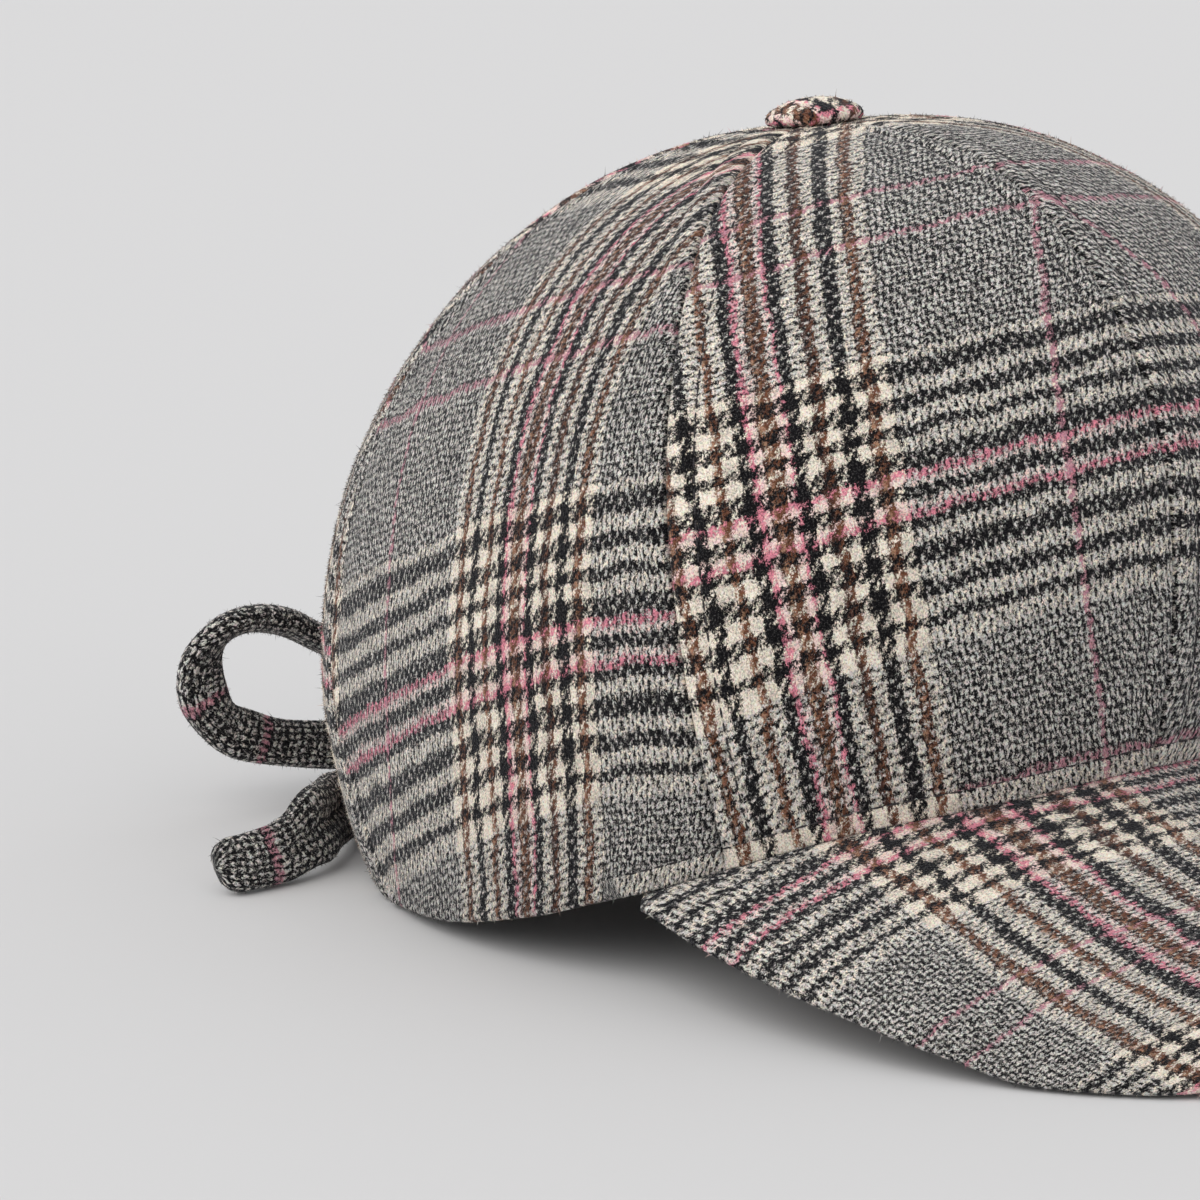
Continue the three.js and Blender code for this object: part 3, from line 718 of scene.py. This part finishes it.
def stitch_tree():
    """One flattened thread bulge on every point of a row, laid along it and sunk in the cloth."""
    tree, start, given = open_tree("topstitch", "Row", (
        ("Stitch length", "Float"), ("Thread width", "Float"), ("Thread height", "Float")))
    way, rise = stored(start, "way", "FLOAT_VECTOR"), stored(start, "rise", "FLOAT_VECTOR")
    size = start.make("ShaderNodeCombineXYZ", {},
                      {"X": given.also(1) * 0.5, "Y": given.also(2) * 0.5, "Z": given.also(3) * 0.5})
    bulge = start.make("GeometryNodeMeshUVSphere", {}, {"Segments": 8, "Rings": 5, "Radius": 1.0})
    stitches = copies(given, bulge, rise, way, size)
    smooth = start.make("GeometryNodeSetShadeSmooth", {}, {"Geometry": stitches})
    return close_tree(tree, smooth, given.also(4))


def cotton_thread():
    """Dark twisted sewing cotton."""
    cotton, shader = new_material("dark_cotton")
    tree = cotton.node_tree
    start = Thread(tree, None)
    place = start.make("ShaderNodeTexCoord", {}, {}, "Object")
    twist = start.make("ShaderNodeTexWave", {"wave_type": "BANDS", "bands_direction": "DIAGONAL"},
                       {"Vector": place, "Scale": 900.0, "Distortion": 2.0, "Detail": 1.0}, "Fac")
    tree.links.new(twist.blend(linear("1d1b1e"), linear("3a3538")).socket, shader.inputs["Base Color"])
    bump = start.make("ShaderNodeBump", {}, {"Strength": 0.6, "Distance": 0.0001, "Height": twist})
    tree.links.new(bump.socket, shader.inputs["Normal"])
    shader.inputs["Roughness"].default_value = 0.75
    return cotton


def evenly(line, up):
    """Stitch centres at an even pitch on a line in millimetres, with their directions."""
    length = length_along(line)
    marks = np.arange(STITCH_PITCH / 2, length[-1], STITCH_PITCH)
    ahead = np.gradient(line, length, axis=0)
    return [np.stack([np.interp(marks, length, values[:, k]) for k in range(3)], -1)
            for values in (line, ahead, up)]


def seam_row(seam, side):
    """Row beside a seam; side is 1 towards larger azimuths."""
    rise = np.linspace(STITCHED_FROM, STITCHED_TO, 200)
    azimuth = seam_azimuth(seam, rise)
    degree = crown_point(azimuth + 0.5, rise) - crown_point(azimuth - 0.5, rise)
    degree = np.linalg.norm(degree, axis=-1)
    azimuth = azimuth + side * np.minimum(STITCH_FROM_SEAM, 0.21 * degree * 60) / degree
    line, up = crown_point(azimuth, rise), crown_normal(azimuth, rise)
    keep = (line[:, 2] > arch_height(line[:, 0]) + ARCH_CLEAR) | (line[:, 1] < 0)
    line = line + up * (soft_hills(line) - STITCH_SINK)[:, None]
    return evenly(line[keep], up[keep])


def peak_seam_row():
    """Row just above the seam between the crown and the peak."""
    azimuth = np.linspace(-PEAK_END - 1, PEAK_END + 1, 200)
    rise = np.full(200, BAND_HEIGHT / ROWS_LENGTH * GORE_TOP)
    line, up = crown_point(azimuth, rise), crown_normal(azimuth, rise)
    return evenly(line - up * STITCH_SINK, up)


stitch_rows = [peak_seam_row(), seam_row(0, -1), seam_row(0, 1), seam_row(180, -1), seam_row(-180, 1)]
stitch_rows += [seam_row(seam, -np.sign(seam)) for seam in (-120, -60, 60, 120)]
stitch_places, stitch_ways, stitch_rises = (np.concatenate(parts) for parts in zip(*stitch_rows))
stitch_mesh = bpy.data.meshes.new("topstitching")
stitch_mesh.from_pydata((stitch_places / 1000 + (0, AXIS_Y, 0)).tolist(), [], [])
for label, vectors in (("way", stitch_ways), ("rise", stitch_rises)):
    layer = stitch_mesh.attributes.new(label, "FLOAT_VECTOR", "POINT")
    layer.data.foreach_set("vector", vectors.astype(np.float32).reshape(-1))
topstitching = put("topstitching", stitch_mesh)
grow(topstitching, stitch_tree(), {**STITCH_SIZE, "Material": cotton_thread()})
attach(topstitching, "root")

# Peak. A stiff curved board covered above and below in the same tweed, rounded over at its
# outer edge and sewn into the seam between it and the crown.
PEAK_TIP_Y, PEAK_THICKNESS, PEAK_EDGE_HALF = -170.0, 4.0, 1.2
PEAK_COVERED_HALF, PEAK_TAPER, PEAK_STRIP, PEAK_REACH = 1.9, 9.0, 2.3, 0.99
PEAK_EDGE_HEIGHTS = [(0, 14.5), (0.12, 12), (0.33, 7), (0.47, 2.8), (0.56, -0.1), (0.68, -0.2), (1, 9)]
PEAK_CORNER_HANDLE, PEAK_TIP_HANDLE, PEAK_ARCH, PEAK_BELOW_RIM = (-10, -65), (-62, 0), 3.0, 0.3
PEAK_SLICES, PEAK_SLICES_CROWD, PEAK_ROWS, PEAK_EDGE_ROWS, PEAK_STEP = 141, 1.46, 46, 8, 0.01
PEAK_SEAM_LIFT, PEAK_SEAM_LIFT_ENDS, PEAK_SMOOTH = 0.28, 2.5, 9


def peak_edge_plan(along):
    """The peak's edge from above; along is 0 at the right corner and 1 at the tip."""
    corner = rim_point(-PEAK_END)[:2]
    tip = np.array([0.0, PEAK_TIP_Y])
    t = np.linspace(0, 1, 401)[:, None]
    line = ((1 - t) ** 3 * corner + 3 * (1 - t) ** 2 * t * (corner + PEAK_CORNER_HANDLE)
            + 3 * (1 - t) * t * t * (tip + PEAK_TIP_HANDLE) + t ** 3 * tip)
    length = length_along(line)
    share = length / length[-1]
    return np.interp(along, share, line[:, 0]), np.interp(along, share, line[:, 1])


def peak_point(across, out):
    """Middle of the peak's thickness; across is -1 at the right corner, out is 1 at the edge."""
    across, out = np.broadcast_arrays(np.asarray(across, float), np.asarray(out, float))
    along = 1 - np.abs(across)
    x, y = peak_edge_plan(along)
    edge = np.stack([np.where(across < 0, x, -x), y,
                     smooth_table(PEAK_EDGE_HEIGHTS, along) + PEAK_EDGE_HALF], -1)
    seam = rim_point(across * PEAK_END)
    seam[..., 2] -= PEAK_BELOW_RIM + PEAK_THICKNESS / 2
    point = seam + (edge - seam) * out[..., None]
    width = np.linalg.norm(edge - seam, axis=-1)
    point[..., 2] += PEAK_ARCH * 4 * out * (1 - out) * np.minimum(1, width / 60)
    return point


PEAK_CLOTH_SIDE, PEAK_CLOTH_FRONT, PEAK_CLOTH_UNIT, PEAK_MIDDLE_HALF = 55, 100, 40, 24.0
PEAK_MIDDLE_SOFT, PEAK_INWARD, PEAK_THREAD, PEAK_WEFT_BACK = 6.0, 23.24, 0.655, 0.7
# Counts for weave_sum: the cloth on the peak's right half.
PEAK_WARP = (-28.27, 66.22, 3.47, -6.63, -11.76, -5.51, 1.25, 3.16, 0.2, -0.89)
PEAK_WEFT = (-32.16, 18.99, 73.17, 0.04, 2.03, -12.69, 4.86, 2.8, -4.08, 6.23)


def peak_cloth(point):
    """Thread counts on the peak. The weft lines bow back towards both corners in the same way."""
    x = -np.sqrt(point[..., 0] ** 2 + PEAK_MIDDLE_SOFT ** 2)
    y = (point[..., 1] + PEAK_CLOTH_FRONT) / PEAK_CLOTH_UNIT
    side = (np.minimum(x, -PEAK_MIDDLE_HALF) + PEAK_CLOTH_SIDE) / PEAK_CLOTH_UNIT
    side_end = (PEAK_CLOTH_SIDE - PEAK_MIDDLE_HALF) / PEAK_CLOTH_UNIT
    middle = np.maximum(x + PEAK_MIDDLE_HALF, 0.0)
    inward = np.maximum(PEAK_INWARD - np.abs(point[..., 0]), 0.0)
    warp = weave_sum(PEAK_WARP, side, y) + inward / PEAK_THREAD
    warp_centre = weave_sum(PEAK_WARP, side_end, y) + PEAK_INWARD / PEAK_THREAD
    bow_back = middle - middle ** 2 / (2 * PEAK_MIDDLE_HALF)
    weft = weave_sum(PEAK_WEFT, side, y) + PEAK_WEFT_BACK * bow_back
    warp = np.where(point[..., 0] > 0, 2 * warp_centre - warp, warp)
    return np.stack([warp, weft], -1)


def make_peak():
    """The peak's cover: both faces, the round edge, and the strip that lies under the crown."""
    slices = np.sin(np.linspace(-1, 1, PEAK_SLICES) * PEAK_SLICES_CROWD) / np.sin(PEAK_SLICES_CROWD)
    across = (slices * PEAK_REACH)[:, None]
    seam, edge = peak_point(across, 0.0), peak_point(across, 1.0)
    width = np.linalg.norm(edge - seam, axis=-1)
    round_size = np.minimum(PEAK_EDGE_HALF, 0.45 * width)
    bend = np.linspace(0, np.pi / 2, PEAK_EDGE_ROWS + 1)[1:]
    shares = np.linspace(0, 1, PEAK_ROWS)
    rounded = round_size * (1 - np.sin(bend))
    from_edge = np.concatenate([width - shares * (width - round_size), rounded], 1)
    out = 1 - from_edge / width
    middle = peak_point(across, out)
    left, right = np.clip(across + PEAK_STEP, -1, 1), np.clip(across - PEAK_STEP, -1, 1)
    around = peak_point(left, out) - peak_point(right, out)
    away = peak_point(across, out + PEAK_STEP) - peak_point(across, out - PEAK_STEP)
    normal = np.cross(away, around)
    normal = unit(normal * np.where(normal[..., 2:] < 0, -1, 1))
    from_seam = width - from_edge
    lean = np.clip(from_seam / 3, 0, 1)[..., None]
    normal = normal * lean + np.array([0, 0, 1.0]) * (1 - lean)
    taper = np.clip((from_edge - round_size) / PEAK_TAPER, 0, 1)
    flank = round_size + (PEAK_COVERED_HALF - round_size) * np.sin(taper * np.pi / 2)
    nose = np.sqrt(np.clip(1 - (1 - from_edge / round_size) ** 2, 0, 1)) * round_size
    half = np.where(from_edge < round_size, nose, flank)
    lift = PEAK_THICKNESS / 2 - PEAK_COVERED_HALF + PEAK_SEAM_LIFT
    lift = lift * np.exp(-from_seam / PEAK_SEAM_LIFT_ENDS)
    inside = np.clip(from_seam / PEAK_SMOOTH, 0, 1) * np.clip(from_edge / PEAK_SMOOTH, 0, 1)
    hills = 0.7 * soft_hills(middle * (0.6, 0.6, 1)) * inside
    top = middle + normal * (half + hills)[..., None] + lift[..., None] * (0, 0, 1)
    under = middle - normal * (half - hills)[..., None]
    ahead = (edge - seam) / width[..., None]
    over, through = (np.cumsum(np.linalg.norm(np.diff(line, axis=1, prepend=line[:, :1]), axis=-1), axis=1)
                     for line in (top, middle))
    spare = over - through
    cloth = peak_cloth(middle + ahead * spare[..., None])
    strip = rim_point(across * PEAK_END)
    strip[..., :2] -= (strip[..., :2] - (0, RIM_CENTRE_Y)) * PEAK_STRIP / RIM_RADIUS
    strip_top, strip_under = strip - (0, 0, 0.02), strip - (0, 0, PEAK_THICKNESS)
    top, under = np.concatenate([strip_top, top], 1), np.concatenate([strip_under, under], 1)
    top[..., 2], under[..., 2] = np.maximum(top[..., 2], 0.05), np.maximum(under[..., 2], 0.05)
    cloth = np.concatenate([peak_cloth(strip), cloth], 1)
    return shell_piece("peak_cover", top, under, cloth)


peak = make_peak()
peak.data.attributes["nap"].data.foreach_set("value", [1.0] * len(peak.data.vertices))
brush(peak, 11)
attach(peak, "root")
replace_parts(peak, "peak")

# Button. A domed metal button covered in a disc of the tweed, gathered in under its edge and
# fixed through the point where the six gores meet.
BUTTON_SEAT, BUTTON_TILT, BUTTON_TURNS = (0.0, 6.295, 147.73), 9, 72
BUTTON_PROFILE = [(0.0, 5.2), (2.2, 5.1), (4.4, 4.75), (6.4, 4.05), (8.0, 3.3), (9.0, 2.55),
                  (9.4, 1.7), (9.3, 0.95), (8.8, 0.4), (7.6, 0.1), (5.4, 0.0), (3.0, -0.2),
                  (3.0, -6.9), (0.0, -7.0)]
GATHERS, GATHER_DEPTH, GATHERS_FROM, GATHERS_TO = 15, 0.28, 3, 11
BUTTON_WARP, BUTTON_WEFT, BUTTON_NAP_ABOVE = 12, 17, 0.148


def wound_mesh(name, points, counts, turns, merge):
    """A closed mesh from rings of points with thread counts, its poles and seam merged."""
    faces = []
    for place in range(len(points) // turns - 1):
        for turn in range(turns):
            a, b = place * turns + turn, place * turns + (turn + 1) % turns
            faces.append((a, a + turns, b + turns, b))
    mesh = cloth_mesh(name, points, faces, [counts[corner] for face in faces for corner in face])
    merge_points(mesh, merge)
    return mesh


button_points, button_counts = [], []
button_length = 0.0
for place, (radius, height) in enumerate(BUTTON_PROFILE):
    if place:
        last = BUTTON_PROFILE[place - 1]
        button_length += np.hypot(radius - last[0], height - last[1])
    gathered = np.clip((place - GATHERS_FROM) / 4, 0, 1) * (place < GATHERS_TO) * (radius > 2)
    for turn in range(BUTTON_TURNS):
        angle = 2 * np.pi * turn / BUTTON_TURNS
        gather = GATHER_DEPTH * np.cos(GATHERS * angle + 0.8 * np.sin(3 * angle)) * gathered
        spread = max(radius + gather, 0.0)
        button_points.append((spread * np.sin(angle), -spread * np.cos(angle), height))
        button_counts.append((button_length * np.sin(angle) / THREAD_ACROSS + BUTTON_WARP,
                              -button_length * np.cos(angle) / THREAD_ALONG + BUTTON_WEFT))
button_mesh = wound_mesh("covered_button", button_points, button_counts, BUTTON_TURNS, 1e-4)
button_turn = Matrix.Rotation(radians(-BUTTON_TILT), 4, "X")
button_mesh.transform(Matrix.Translation(Vector(BUTTON_SEAT)) @ button_turn)
button_mesh.transform(Matrix.Translation((0, AXIS_Y, 0)) @ Matrix.Scale(0.001, 4))
raise_nap(button_mesh, [corner.co.z > BUTTON_NAP_ABOVE for corner in button_mesh.vertices])
button = put("covered_button", button_mesh)
brush(button, 17, check_tweed("button_tweed", 0.44, 0.94))
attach(button, "root")
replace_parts(button, "top_button")

# Bow. A band of the same tweed, sewn into a narrow tube and pressed, comes from both sides of
# the rear opening and is tied behind it; its two ends hang to the floor.
STRAP_WIDTH, STRAP_THICKNESS, STRAP_SIDES = 10.2, 5.4, 28
PLAIN_MIDDLE, PLAIN_HALF = 83, 40
# The bow's tweed is a darker copy of the crown's: its lower tone value is painted shade on the bow.
bow_tweed = check_tweed("bow_tweed", 0.71, 0.76)
BOW_THREADS = (0.80, 0.94)
CREASES, GROOVE_DEPTH, GROOVE_AT, GROOVE_WIDTH, FLOOR_GAP = 0.05, 0.16, 0.3, 0.16, 0.05
STRAP_SQUARE_ACROSS, STRAP_SQUARE_THROUGH, END_BLUNT = 0.7, 0.8, 0.12
# Columns: x, y and z of the strap's middle line, then the direction of its width.
LOOP_POINTS = [
    (-3.6, 102, 12.2, 0, 1, .1), (-9.5, 102.2, 15.6, 0, 1, .1), (-20, 104.2, 20.3, 0, 1, 0),
    (-34, 106, 27, 0, 1, -.1), (-46.5, 107.2, 33.2, 0, .98, -.15), (-54.5, 108.4, 37.4, 0, .97, -.2),
    (-62, 109.5, 38.7, .1, .95, -.3), (-68.4, 110.3, 36.8, .4, .75, -.5),
    (-72.2, 110.9, 31.5, .85, .1, -.15), (-72.1, 111, 24.5, .92, -.15, .2),
    (-68, 110.5, 17.8, .6, .05, .78), (-59, 109.6, 13.3, .2, .2, .95),
    (-49.5, 108.8, 10.9, .05, .35, .93), (-39, 108.6, 9.2, 0, .6, .8), (-24, 108.6, 8.4, 0, .85, .5),
    (-10, 107.8, 8.4, 0, .9, .35), (-4, 106, 8.8, 0, .9, .35),
]
TAIL_RIGHT_POINTS = [
    (-4.2, 100.6, 6.6, 0, .05, 1), (-24, 96.6, 6, 0, .1, 1), (-44, 88.5, 6.2, 0, .2, 1),
    (-60, 77.8, 6.4, -.1, .3, 1), (-72, 68, 7, -.1, .3, 1), (-81, 61.4, 7, -.1, .3, .95),
    (-87, 59.4, 6, 0, .35, .95), (-96, 58.8, 5.2, 0, .45, .88), (-106, 59.1, 4.5, 0, .55, .83),
]
TAIL_LEFT_POINTS = [
    (4.2, 100.6, 6.6, 0, .05, 1), (24, 96.6, 6, 0, .1, 1), (43, 91, 6.2, 0, .2, 1),
    (59, 84, 6, .1, .3, 1), (73, 79.5, 5.8, .1, .35, .9), (88, 79, 5, 0, .5, .85),
    (105.7, 82, 4.4, 0, .6, .8),
]
# Columns: share of the length, then the width as a share of the plain strap's.
PLAIN_WIDTH = [(0, 1), (1, 1)]
TAIL_WIDTH = [(0, 1), (0.45, 1.05), (0.66, 1.5), (0.78, 1.42), (0.88, 1.12), (1, 1.2)]
TIE_BETWEEN, TIE_RISE, TIE_HEIGHT, TIE_LEAN = (157, 174.6), 0.03, 6.2, 0.35
KNOT_CENTRE, KNOT_SIZE, KNOT_SQUARENESS = (0.0, 102.8, 9.8), (20.5, 20.5, 19.2), 2.5
KNOT_ROWS, KNOT_TURNS, KNOT_FOLD_AT, KNOT_FOLD_DEPTH = 40, 64, 0.52, 0.09
KNOT_WARP, KNOT_WARP_START, KNOT_WEFT, KNOT_WEFT_START = 16, 62, 12, 60


def smooth_line(points, steps):
    """Points and directions along a curve through the given points, evenly in their order."""
    points = np.asarray(points, float)
    points = np.vstack([2 * points[0] - points[1], points, 2 * points[-1] - points[-2]])
    t = np.linspace(0, len(points) - 3, steps + 1)
    k = np.minimum(t.astype(int), len(points) - 4)
    f = (t - k)[:, None]
    p0, p1, p2, p3 = points[k], points[k + 1], points[k + 2], points[k + 3]
    d0, d1, d2 = (np.maximum(np.linalg.norm(b - a, axis=1, keepdims=True), 1e-6) ** 0.5
                  for a, b in ((p0, p1), (p1, p2), (p2, p3)))
    m1 = ((p1 - p0) / d0 - (p2 - p0) / (d0 + d1) + (p2 - p1) / d1) * d1
    m2 = ((p2 - p1) / d1 - (p3 - p1) / (d1 + d2) + (p3 - p2) / d2) * d1
    place = (p1 + m1 * f + (-3 * p1 + 3 * p2 - 2 * m1 - m2) * f ** 2 + (2 * p1 - 2 * p2 + m1 + m2) * f ** 3)
    slope = m1 + 2 * (-3 * p1 + 3 * p2 - 2 * m1 - m2) * f + 3 * (2 * p1 - 2 * p2 + m1 + m2) * f ** 2
    return place, slope / np.maximum(np.linalg.norm(slope, axis=1, keepdims=True), 1e-9)


def strap_rings(rows, steps, widths, end_round):
    """A strap's middle line, the length along it, its rings of points and the way round them."""
    rows = np.array(rows, float)
    centre, forward = smooth_line(rows[:, :3], steps)
    wide = smooth_line(rows[:, 3:], steps)[0]
    wide = unit(wide - forward * (wide * forward).sum(1, keepdims=True))
    thick = np.cross(forward, wide)
    length = length_along(centre)
    angle = np.arange(STRAP_SIDES) / STRAP_SIDES * 2 * np.pi
    across = np.sign(np.cos(angle)) * np.abs(np.cos(angle)) ** STRAP_SQUARE_ACROSS * STRAP_WIDTH / 2
    through = np.sign(np.sin(angle)) * np.abs(np.sin(angle)) ** STRAP_SQUARE_THROUGH * STRAP_THICKNESS / 2
    closing = np.minimum(length, length[-1] - length)
    closed = np.sqrt(np.clip(1 - (1 - np.minimum(closing / end_round, 1)) ** 2, 0, 1))
    closed = closed * (1 - END_BLUNT) + END_BLUNT
    crease = 1 + CREASES * np.sin(length / 3.1 + 1.2 * np.sin(length / 7.3))
    from_groove = (angle + GROOVE_AT) % (2 * np.pi) - GROOVE_AT
    groove = 1 - GROOVE_DEPTH * np.exp(-(from_groove / GROOVE_WIDTH) ** 2)
    size = closed[:, None] * crease[:, None] * groove[None, :]
    widen = smooth_table(widths, length / length[-1])[:, None]
    pinch = 1 - np.minimum(1.1 * (widen - 1), 0.55) * np.exp(-(across / 1.3) ** 2)
    centre[:, 2] += (widen[:, 0] - 1) * STRAP_WIDTH / 2 * 0.8
    across, through = across * widen, through * pinch
    ring = (centre[:, None] + wide[:, None] * (across * size)[..., None]
            + thick[:, None] * (through * size)[..., None])
    ring[..., 2] = np.maximum(ring[..., 2], FLOOR_GAP)
    across, through = across.mean(0), through.mean(0)
    steps_round = np.hypot(np.diff(across, append=across[0]), np.diff(through, append=through[0]))
    return centre, length, ring, np.concatenate([[0], np.cumsum(steps_round)])


def make_strap(name, rows, steps, warp_start, weft_start, widths=PLAIN_WIDTH, end_round=1.8):
    """A flattened tube of cloth along the rows of a table, with round ends and light creases."""
    centre, length, ring, girth = strap_rings(rows, steps, widths, end_round)
    count, sides = len(ring), STRAP_SIDES
    points = (ring.reshape(-1, 3) / 1000 + (0, AXIS_Y, 0)).tolist()
    faces, places = [], []
    for step in range(count - 1):
        for side in range(sides):
            corners = ((step, side), (step, side + 1), (step + 1, side + 1), (step + 1, side))
            faces.append([row * sides + turn % sides for row, turn in corners])
            places += [(girth[turn], length[row]) for row, turn in corners]
    for end, order in ((0, -1), (count - 1, 1)):
        middle = len(points)
        points.append((centre[end] / 1000 + (0, AXIS_Y, 0)).tolist())
        for side in range(sides):
            corners = [end * sides + side, end * sides + (side + 1) % sides, middle]
            ends = [(girth[side], length[end]), (girth[side + 1], length[end]),
                    (girth[side], length[end] + 2 * order)]
            faces.append(corners[::order])
            places += ends[::order]
    counts = np.array(places) / BOW_THREADS + (warp_start, weft_start)
    folded = np.abs(counts[:, 1] % (4 * PLAIN_HALF) - 2 * PLAIN_HALF) - PLAIN_HALF
    counts[:, 1] = PLAIN_MIDDLE + folded
    mesh = cloth_mesh(name, points, faces, counts)
    raise_nap(mesh, np.ones(len(mesh.vertices)))
    strap = put(name, mesh)
    brush(strap, len(name), bow_tweed)
    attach(strap, "root")
    return strap


def mirrored(rows):
    """The same strap on the other side."""
    return [(-row[0], row[1], row[2], -row[3], row[4], row[5]) for row in rows]


tie_rows = []
for tie_azimuth in np.linspace(*TIE_BETWEEN, 4):
    tie_turn = np.radians(tie_azimuth)
    tie_away = np.array([np.sin(tie_turn), -np.cos(tie_turn), 0.0])
    tie_middle = crown_point(tie_azimuth, TIE_RISE) - tie_away * WALL / 2
    tie_rows.append((*tie_middle[:2], TIE_HEIGHT, *(tie_away[:2] * TIE_LEAN), 1.0))
# Columns: piece, node, middle line, steps along it, warp and weft counts at its start, and for
# the tails the widths and how far their ends are rounded.
STRAPS = [
    ("loop_right", "bow_loop_right", LOOP_POINTS, 150, 52, 20),
    ("loop_left", "bow_loop_left", mirrored(LOOP_POINTS), 150, 52, 31),
    ("tail_right", "bow_tail_right", TAIL_RIGHT_POINTS, 110, 44, 5, TAIL_WIDTH, 5.0),
    ("tail_left", "bow_tail_left", TAIL_LEFT_POINTS, 110, 47, 60, PLAIN_WIDTH, 5.0),
    ("tie_left_side", "tie_left", tie_rows, 30, 44, 30),
    ("tie_right_side", "tie_right", mirrored(tie_rows), 30, 44, 40),
]
for strap_name, strap_node, *strap_rest in STRAPS:
    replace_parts(make_strap(strap_name, *strap_rest), strap_node)

knot_points, knot_counts = [], []
for row in range(KNOT_ROWS + 1):
    lift = np.pi * row / KNOT_ROWS
    for turn in range(KNOT_TURNS):
        angle = 2 * np.pi * turn / KNOT_TURNS
        way = np.array([np.sin(lift) * np.cos(angle), np.sin(lift) * np.sin(angle), np.cos(lift)])
        fold = (1 - KNOT_FOLD_DEPTH * np.exp(-((abs(way[0]) - KNOT_FOLD_AT) / 0.1) ** 2)
                - 0.03 * np.sin(5 * way[0] + 7 * way[2]) ** 2)
        square = way / (np.abs(way) ** KNOT_SQUARENESS).sum() ** (1 / KNOT_SQUARENESS)
        corner = (square * KNOT_SIZE * fold / 2 + KNOT_CENTRE) / 1000 + (0, AXIS_Y, 0)
        knot_points.append(tuple(corner))
        knot_counts.append((way[0] * KNOT_WARP + KNOT_WARP_START,
                            abs(np.arctan2(way[2], way[1])) * KNOT_WEFT + KNOT_WEFT_START))
knot_mesh = wound_mesh("wrapped_knot", knot_points, knot_counts, KNOT_TURNS, 1e-6)
raise_nap(knot_mesh, np.ones(len(knot_mesh.vertices)))
knot = put("wrapped_knot", knot_mesh)
brush(knot, 19, bow_tweed)
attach(knot, "root")
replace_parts(knot, "bow_knot")
